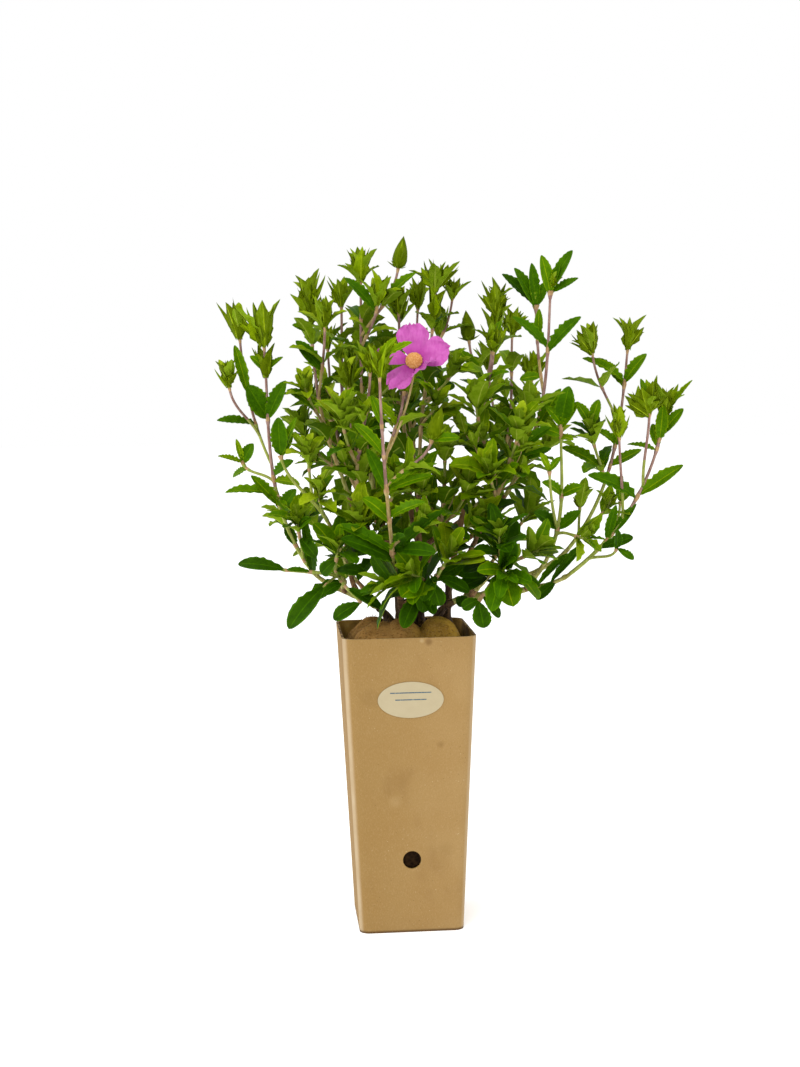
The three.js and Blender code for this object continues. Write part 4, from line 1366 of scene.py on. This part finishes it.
    def skin(self, shoot, joints):
        """A shoot's bark, older at its foot and swollen where leaves or a head join it."""
        way = shoot.way
        leafy = shoot.ending == "leafy"
        tones = np.full(way.rings, GREEN if leafy else PURPLE)
        tones[: int(way.rings * 0.4)] = GREEN if self.name in OLIVE_MASSES else TAN
        swell = np.zeros(way.rings + 1)
        if not leafy:
            tones[-1] = JOINT
            swell += HEAD_JOINT * way.bulge(1, 2.0)
        for joint in joints:
            tones[min(way.rings - 1, int(joint * way.rings))] = JOINT
            swell += LEAF_JOINT * way.bulge(joint, 2.2)
        way.tube(self.twigs, 6, tones, swell)


def in_pot(spot):
    """Whether a point of the shrub would be inside the pot or its wrap."""
    turned = Matrix.Rotation(SHRUB_TURN, 3, "Z") @ spot
    return max(abs(turned.x), abs(turned.y)) < POT_TOP / 2 + POT_CLEAR and spot.z < EARTH + EARTH_CLEAR


# The kinds of leaf and bract, a few of each. All but the small leaves and the slender bracts have a rib and a
# margin.
YOUNG_LEAVES = [leaf_shape(11 + i, 0.9, 0.74, 0.65, 0.042, 0.1 + 0.25 * i) for i in range(5)]
OLD_LEAVES = [leaf_shape(31 + i, 1.05, 0.68, 0.55, 0.04, 0.35 + 0.2 * i) for i in range(6)]
LOW_LEAVES = [leaf_shape(41 + i, 1.25, 0.6, 0.35, 0.02, 0.3 + 0.25 * i) for i in range(3)]
SHOWN_LEAVES = [
    leaf_shape(131 + i, 1.02, 0.64, 0.5, 0.036, 0.25 + 0.15 * i, rows=17, lobe=SHOWN_LOBE) for i in range(6)
]
BROAD_LEAVES = [
    leaf_shape(151 + i, 1.5, 0.55, 0.3, 0.018, 0.3 + 0.2 * i, rows=15, lobe=BROAD_LOBE) for i in range(4)
]
SMALL_LEAVES = [leaf_shape(51 + i, 0.95, 0.75, 0.7, 0.03, 0.2 + 0.2 * i, 2, 5) for i in range(3)]
BOATS = [leaf_shape(71 + i, 0.7, 0.95, 1.3, 0.01, -0.45 + 0.35 * i, rows=7) for i in range(4)]
SLENDER = [leaf_shape(91 + i, 0.6, 1.1, 0.8, 0.004, -0.3 + 0.35 * i, 2, 5) for i in range(3)]
BUD = bud_shape()


def make_limbs(limbs):
    """The stems and boughs: old bark at the foot, younger and greener outwards."""
    heap = Heap("limb_bark")
    for name, way in limbs.items():
        rooted = not isinstance(MASSES[name]["from"][0], str)
        swell = np.zeros(way.rings + 1)
        if rooted:
            swell += FOOT_SWELL * way.bulge(0, 7)
        for joint in np.arange(0.12, 1, LIMB_JOINT_STEP / way.length):
            swell += LIMB_JOINT * way.bulge(joint, 2.4)
        tones = np.full(way.rings, 1)
        if rooted:
            tones[: int(way.rings * OLD_BARK_TO)] = 0
        tones[int(way.rings * (OLIVE_FROM if name in OLIVE_MASSES else YOUNG_BARK_FROM)) :] = 2
        way.tube(heap, 10, tones, swell, BARK_RELIEF)
    nodes = [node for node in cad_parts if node.startswith(("stem_", "bough_"))]
    show("limb_bark", heap.mesh(), limb_finishes(), nodes)


def limb_finishes():
    return [
        bark_finish("bark_old", tint(52, 38, 24), tint(86, 66, 44), tint(28, 20, 12), 210),
        bark_finish("bark_brown", tint(92, 66, 44), tint(128, 98, 66), tint(58, 40, 26), 240),
        bark_finish("bark_young", tint(124, 122, 58), tint(152, 149, 88), tint(94, 86, 42), 280),
    ]


def make_foliage(limbs):
    """All sprays of leaves, with the twigs and the heads; returns the shoots of each mass."""
    leaf_looks = foliage_finishes()
    twig_looks = twig_finishes()
    twigs = Heap("twigs")
    heads = Heap("bud_heads")
    grown = {}
    for spray, names in SPRAYS.items():
        leaves = Heap(f"leaves_{spray}")
        for name in names:
            grown[name] = grow_shoots(name, limbs)
            Foliage(name, f"{spray} {name}", leaves, heads, twigs).grow(limbs[name], grown[name])
        nodes = [f"foliage_{name}" for name in names]
        show(leaves.name, leaves.mesh(), leaf_looks, nodes)
    show("twigs", twigs.mesh(), twig_looks)
    show("bud_heads", heads.mesh(), leaf_looks)
    return grown


# The petals: the turn of each round the flower, how far it leans forward, its share of the full length and
# width, and how far it curls forward beyond its foot.
PETALS = [
    (1.62, 0.15, 1.0, 1.0, 0.05),
    (0.3, 0.2, 1.02, 0.95, 0.1),
    (5.4, 0.0, 1.05, 0.95, 1.2),
    (4.14, 0.3, 1.17, 0.74, 0.1),
    (2.98, 0.25, 1.06, 0.6, 0.1),
]
PETAL_STEPS = 18
CURL_BY = 0.4


def petal_shape(seed, curl):
    """A petal one unit long and wide, creased and frilled, that curls forward beyond its foot."""
    roll = random.Random(seed)
    arc = CURL_BY / curl
    shift = Vector((roll.uniform(-9, 9), roll.uniform(-9, 9), 0))

    def rule(u, v):
        wide = 0.16 + 0.88 * math.sin(min(1, v * 1.2) * math.pi / 2)
        wide *= math.sqrt(max(0.0, 1 - max(0, (v - 0.66) / 0.4) ** 2))
        frill = noise.noise(Vector((u * 4.5, 1, 0)) + shift)
        x = u * max(wide, 0.05) / 2
        crease = noise.noise(Vector((x * 4.5, v * 2.6, 0)) + shift) * 0.17
        crease += noise.noise(Vector((x * 11, v * 8, 3)) + shift) * 0.07
        y = v * (1 - 0.09 * u * u + 0.09 * frill * v)
        z = 0.1 * v * v + 0.1 * u * u * v + crease * v + 0.05 * math.sin(u * 7 + shift.x) * v**3
        angle = curl * min(1, y / CURL_BY)
        beyond = max(0, y - CURL_BY)
        forward = arc * math.sin(angle) + beyond * math.cos(curl)
        upward = arc * (1 - math.cos(angle)) + beyond * math.sin(curl)
        return Vector((x, forward - z * math.sin(angle), upward + z * math.cos(angle)))

    return thin_sheet(PETAL_STEPS, PETAL_STEPS, rule, PETAL_STEPS)


def make_flower(carrier):
    """The flower's petals and stamens, on its own stalk off the front shoot."""
    looks = [
        petal_finish("petal", tint(180, 90, 162), tint(156, 48, 136)),
        petal_finish("petal_back", tint(186, 114, 170), tint(166, 84, 150)),
        stamen_finish(),
    ]
    heap = Heap("petals")
    side = UP.cross(FLOWER_FACE).normalized()
    upward = FLOWER_FACE.cross(side)
    for i, (turn, cup, long, wide, curl) in enumerate(PETALS):
        out = spoke(side, upward, turn)
        along = (out * math.cos(cup) + FLOWER_FACE * math.sin(cup)).normalized()
        face = (FLOWER_FACE - along * FLOWER_FACE.dot(along)).normalized()
        width = PETAL_WIDTH * wide
        place = set_on(FLOWER_HEART + out * 1.5, along, face, width, PETAL_LENGTH * long, width)
        heap.copy(petal_shape(200 + i, curl), place, [0, 0, 0, 1])
    make_boss(heap, side, upward)
    show("petals", heap.mesh(), looks, ["flower"], 70)
    goal = FLOWER_HEART - FLOWER_FACE
    leaving = fork_way(carrier, STALK_SHARE, goal, LIMB_FORK)
    way = Way(carrier.at(STALK_SHARE), leaving, goal, FLOWER_FACE, STALK_RADIUS, STALK_RADIUS, 2.5)
    stalk = Heap("flower_stalk")
    way.tube(stalk, 6, np.full(way.rings, TAN))
    show("flower_stalk", stalk.mesh(), twig_finishes())


def make_boss(heap, side, upward):
    """A low dome of stamens, each anther a small round grain, packed by the sunflower rule."""
    bm = bmesh.new()
    bmesh.ops.create_icosphere(bm, subdivisions=1, radius=1)
    grain = Shape(bm)
    for i in range(STAMENS):
        reach = math.sqrt((i + 0.5) / STAMENS)
        radius = reach * (BOSS_WIDTH / 2 - 0.5)
        rise = BOSS_RISE * math.sqrt(max(0, 1 - 0.8 * reach * reach)) + 0.4
        spot = FLOWER_HEART + spoke(side, upward, i * SUNFLOWER_TURN) * radius + FLOWER_FACE * rise
        heap.copy(grain, Matrix.Translation(spot) @ Matrix.Scale(STAMEN_SIZE, 4), [2])


def half_width(height):
    """Half the pot's width at a height."""
    return (POT_FOOT + (POT_TOP - POT_FOOT) * height / POT_HEIGHT) / 2


def column(bottom, top, inset):
    """A rounded square column between two heights that widens with the pot, set in from its outside."""
    bm = bmesh.new()
    bmesh.ops.create_cube(bm, size=1)
    upright = [edge for edge in bm.edges if abs(edge.verts[0].co.z - edge.verts[1].co.z) > 0.5]
    corner = POT_CORNER / POT_TOP
    bmesh.ops.bevel(
        bm, geom=upright, offset=corner, segments=CORNER_STEPS, affect="EDGES", profile=0.5, material=-1
    )
    for vert in bm.verts:
        z = bottom + (vert.co.z + 0.5) * (top - bottom)
        scale = 2 * (half_width(z) - inset)
        vert.co = Vector((vert.co.x * scale, vert.co.y * scale, z)) * MM
    return bm


def cut(mesh, cutter):
    """The mesh with a closed cutter taken out of it."""
    body = bpy.data.objects.new("body", mesh)
    tool = bpy.data.objects.new("tool", cutter)
    for item in (body, tool):
        bpy.context.scene.collection.objects.link(item)
    change = body.modifiers.new("cut", "BOOLEAN")
    change.object = tool
    change.solver = "EXACT"
    depsgraph = bpy.context.evaluated_depsgraph_get()
    made = bpy.data.meshes.new_from_object(body.evaluated_get(depsgraph))
    bpy.data.objects.remove(body)
    bpy.data.objects.remove(tool)
    return made


def as_mesh(bm, name):
    mesh = bpy.data.meshes.new(name)
    bm.to_mesh(mesh)
    bm.free()
    return mesh


def make_pot():
    """The open carton with its drain hole, its inside and its cut rim in finishes of their own."""
    wall = as_mesh(column(0, POT_HEIGHT, 0), "pot_wall")
    wall = cut(wall, as_mesh(column(POT_WALL, POT_HEIGHT + 2, POT_WALL), "pot_inside"))
    drill = bmesh.new()
    radius = DRAIN_WIDTH / 2 * MM
    bmesh.ops.create_cone(drill, cap_ends=True, segments=40, radius1=radius, radius2=radius, depth=0.05)
    bmesh.ops.rotate(drill, verts=drill.verts, matrix=Matrix.Rotation(math.pi / 2, 3, "X"))
    bmesh.ops.translate(drill, verts=drill.verts, vec=Vector((0, -POT_FOOT / 2, DRAIN_MIDDLE)) * MM)
    wall = cut(wall, as_mesh(drill, "pot_drill"))
    for face in wall.polygons:
        outward = face.normal.x * face.center.x + face.normal.y * face.center.y
        if face.normal.z > 0.9 and face.center.z > POT_HEIGHT * 0.9 * MM:
            face.material_index = 2
        elif outward < -1e-5 or face.normal.z > 0.9:
            face.material_index = 1
    show("carton_pot", wall, [carton_finish(), inside_finish(), edge_finish()], ["pot"], 35)


def make_label():
    """The oval label and two thin ruled lines on it, leaning with the pot's face."""
    lean = math.atan((POT_TOP - POT_FOOT) / 2 / POT_HEIGHT)
    place = Matrix.Translation(Vector((0, -half_width(LABEL_MIDDLE) - GAP, LABEL_MIDDLE)) * MM)
    place = place @ Matrix.Rotation(lean, 4, "X") @ Matrix.Rotation(math.pi / 2, 4, "X")
    bm = bmesh.new()
    bmesh.ops.create_circle(bm, cap_ends=True, segments=72, radius=1)
    bmesh.ops.scale(bm, verts=bm.verts, vec=Vector((LABEL_WIDTH / 2, LABEL_HEIGHT / 2, 1)) * MM)
    rim = bmesh.ops.extrude_face_region(bm, geom=bm.faces[:])["geom"]
    raised = [item for item in rim if isinstance(item, bmesh.types.BMVert)]
    bmesh.ops.translate(bm, verts=raised, vec=Vector((0, 0, LABEL_THICK * MM)))
    bmesh.ops.scale(bm, verts=raised, vec=Vector((0.995, 0.992, 1)))
    bmesh.ops.recalc_face_normals(bm, faces=bm.faces)
    for length, height in RULED_LINES:
        made = bmesh.ops.create_cube(bm, size=1)["verts"]
        bmesh.ops.scale(bm, verts=made, vec=Vector((length, LINE_WIDTH, LINE_THICK)) * MM)
        bmesh.ops.translate(bm, verts=made, vec=Vector((0, height, LABEL_THICK + 0.03)) * MM)
        for face in {face for vert in made for face in vert.link_faces}:
            face.material_index = 1
    bmesh.ops.transform(bm, matrix=place, verts=bm.verts)
    show("oval_label", as_mesh(bm, "oval_label"), [paper_finish(), ink_finish()], ["label"])


def ball_top(x, y):
    """How high the wrap stands at a place: level earth and the folds over it."""
    height = EARTH
    for fold_x, fold_y, rise, length, depth in FOLDS:
        away = ((x - fold_x) / length) ** 2 + ((y - fold_y) / depth) ** 2
        height = max(height, EARTH + rise * max(0, 1 - away) ** 0.7)
    return height


def make_root_ball():
    """The wrapped root ball: folds and creases on top, bare compost in the hollow round the stems, and
    painted shade low down.
    """
    bm = bmesh.new()
    bmesh.ops.create_cube(bm, size=2)
    bmesh.ops.subdivide_edges(bm, edges=bm.edges, cuts=BALL_CUTS, use_grid_fill=True)
    bottom = POT_WALL + GAP
    for vert in bm.verts:
        u, v, w = vert.co
        x = u * math.sqrt(1 - BALL_CORNER * v * v)
        y = v * math.sqrt(1 - BALL_CORNER * u * u)
        edge = max(abs(u), abs(v)) ** 5
        top = ball_top(x * POT_TOP / 2, y * POT_TOP / 2) - SHOULDER_DROP * edge
        creases = noise.fractal(Vector((x * 3.2, y * 3.2, 0)), 1.0, 2.0, 3) * 1.1
        creases += noise.noise(Vector((x * 14, y * 9, 2))) * 0.45
        z = bottom + (top + creases - 0.6 - bottom) * (w + 1) / 2
        half = half_width(min(z, POT_HEIGHT)) - POT_WALL - GAP
        shrink = 1 - 0.012 * abs(noise.noise(Vector((x * 6, y * 6, z * 0.1))))
        vert.co = Vector((x * half * shrink, y * half * shrink, z)) * MM
    for face in bm.faces:
        middle = face.calc_center_median() / MM
        hollow = ((middle.x - 6) / 22) ** 2 + ((middle.y - 4) / 20) ** 2
        ragged = noise.noise(Vector((middle.x * 0.2, middle.y * 0.2, 5))) * 0.4
        # Painted shade: the low faces take the dark compost finish, so that the drain hole shows dark.
        if (face.normal.z > 0.3 and hollow + ragged < 1) or middle.z < SHADE_PAINTED_BELOW:
            face.material_index = 1
    looks = [wrap_finish(), compost_and_shade_finish()]
    return show("coir_root_ball", as_mesh(bm, "coir_root_ball"), looks, ["root_ball"], 60)


def make_fibres(ball):
    """Loose coir hairs that stand out of the wrap."""
    roll = random.Random(9)
    heap = Heap("coir_fibres")
    spots = [vert.co for vert in ball.data.vertices]
    surface = BVHTree.FromPolygons(spots, [face.vertices for face in ball.data.polygons])
    for count, wide, deep in FIBRE_PATCHES:
        for _ in range(count):
            above = Vector((roll.uniform(*wide), roll.uniform(*deep), EARTH + 60))
            turned = Matrix.Rotation(SHRUB_TURN, 3, "Z") @ above
            hit = surface.ray_cast(turned * MM, -UP)[0]
            foot = Vector((above.x, above.y, hit.z / MM - 0.4 if hit else 0))
            out = Vector((roll.uniform(-1, 1), roll.uniform(-1, 1), roll.uniform(0.15, 0.9))).normalized()
            tip = foot + out * roll.uniform(1.5, 5.5)
            bend = Vector((roll.uniform(-1, 1), roll.uniform(-1, 1), roll.uniform(-0.8, 0.4))).normalized()
            if hit and max(abs(tip.x), abs(tip.y)) <= FIBRE_REACH:
                way = Way(foot, out, tip, bend, 0.09, 0.05, 2.0)
                way.tube(heap, 3, np.zeros(way.rings, int))
    show("coir_fibres", heap.mesh(), [fibre_finish()])


# The camera stands in front of the shrub: how far off, how high, how far it looks down, and its small tilts.
CAMERA_AWAY = 1230
CAMERA_HEIGHT = 402
LOOK_DOWN = math.radians(5.53)
CAMERA_ROLL = math.radians(0.75)
CAMERA_YAW = math.radians(0.1)
LENS = 57.8
FILM_WIDTH = 36

# Soft lights: where each stands, its size, its power and its colour. All look at the middle of the plant.
LIGHTS = {
    "key": ((-0.9, -1.6, 1.7), 1.2, 26, (1, 0.98, 0.95)),
    "side": ((-1.8, 0.1, 0.7), 1.0, 12, (0.97, 0.98, 1)),
    "fill": ((1.5, -1.2, 0.9), 1.4, 10, (1, 0.99, 0.97)),
}
LIT_SPOT = Vector((0, 0, 0.3))
WHITE = (1, 1, 1, 1)


def make_camera():
    """The camera in front of the shrub, as the shrub is turned."""
    camera = bpy.data.objects.new("camera", bpy.data.cameras.new("camera"))
    camera.data.lens = LENS
    camera.data.sensor_width = FILM_WIDTH
    turn = Matrix.Rotation(SHRUB_TURN, 4, "Z")
    look = Matrix.Rotation(CAMERA_YAW, 4, "Z") @ Matrix.Rotation(math.pi / 2 - LOOK_DOWN, 4, "X")
    place = turn @ Matrix.Translation(Vector((0, -CAMERA_AWAY, CAMERA_HEIGHT)) * MM) @ look
    camera.matrix_world = place @ Matrix.Rotation(-CAMERA_ROLL, 4, "Z")
    bpy.context.scene.collection.objects.link(camera)
    bpy.context.scene.camera = camera


def make_light(name, place, size, power, colour):
    """A square soft light that looks at the plant."""
    light = bpy.data.objects.new(name, bpy.data.lights.new(name, "AREA"))
    light.data.size = size
    light.data.energy = power
    light.data.color = colour
    light.location = place
    light.rotation_euler = (LIT_SPOT - Vector(place)).to_track_quat("-Z", "Y").to_euler()
    bpy.context.scene.collection.objects.link(light)


def make_studio():
    """A pale floor and soft light from every side, strongest from the front and above."""
    bm = bmesh.new()
    bmesh.ops.create_grid(bm, x_segments=1, y_segments=1, size=8)
    floor = bpy.data.objects.new("floor", as_mesh(bm, "floor"))
    pale = Finish("floor", (0.9, 0.9, 0.9, 1), 0.9, 0.0)
    pale.shader.inputs["Emission Color"].default_value = WHITE
    pale.shader.inputs["Emission Strength"].default_value = 0.3
    floor.data.materials.append(pale.material)
    bpy.context.scene.collection.objects.link(floor)
    world = bpy.data.worlds.new("studio")
    world.use_nodes = True
    world.node_tree.nodes["Background"].inputs["Color"].default_value = WHITE
    world.node_tree.nodes["Background"].inputs["Strength"].default_value = 1.0
    bpy.context.scene.world = world
    for name, light in LIGHTS.items():
        make_light(name, *light)
    bpy.context.scene.view_settings.view_transform = "Standard"


make_camera()
make_studio()
make_pot()
make_label()
make_fibres(make_root_ball())
all_limbs = grow_limbs()
make_limbs(all_limbs)
all_shoots = make_foliage(all_limbs)
make_flower(all_shoots["front"][0].way)
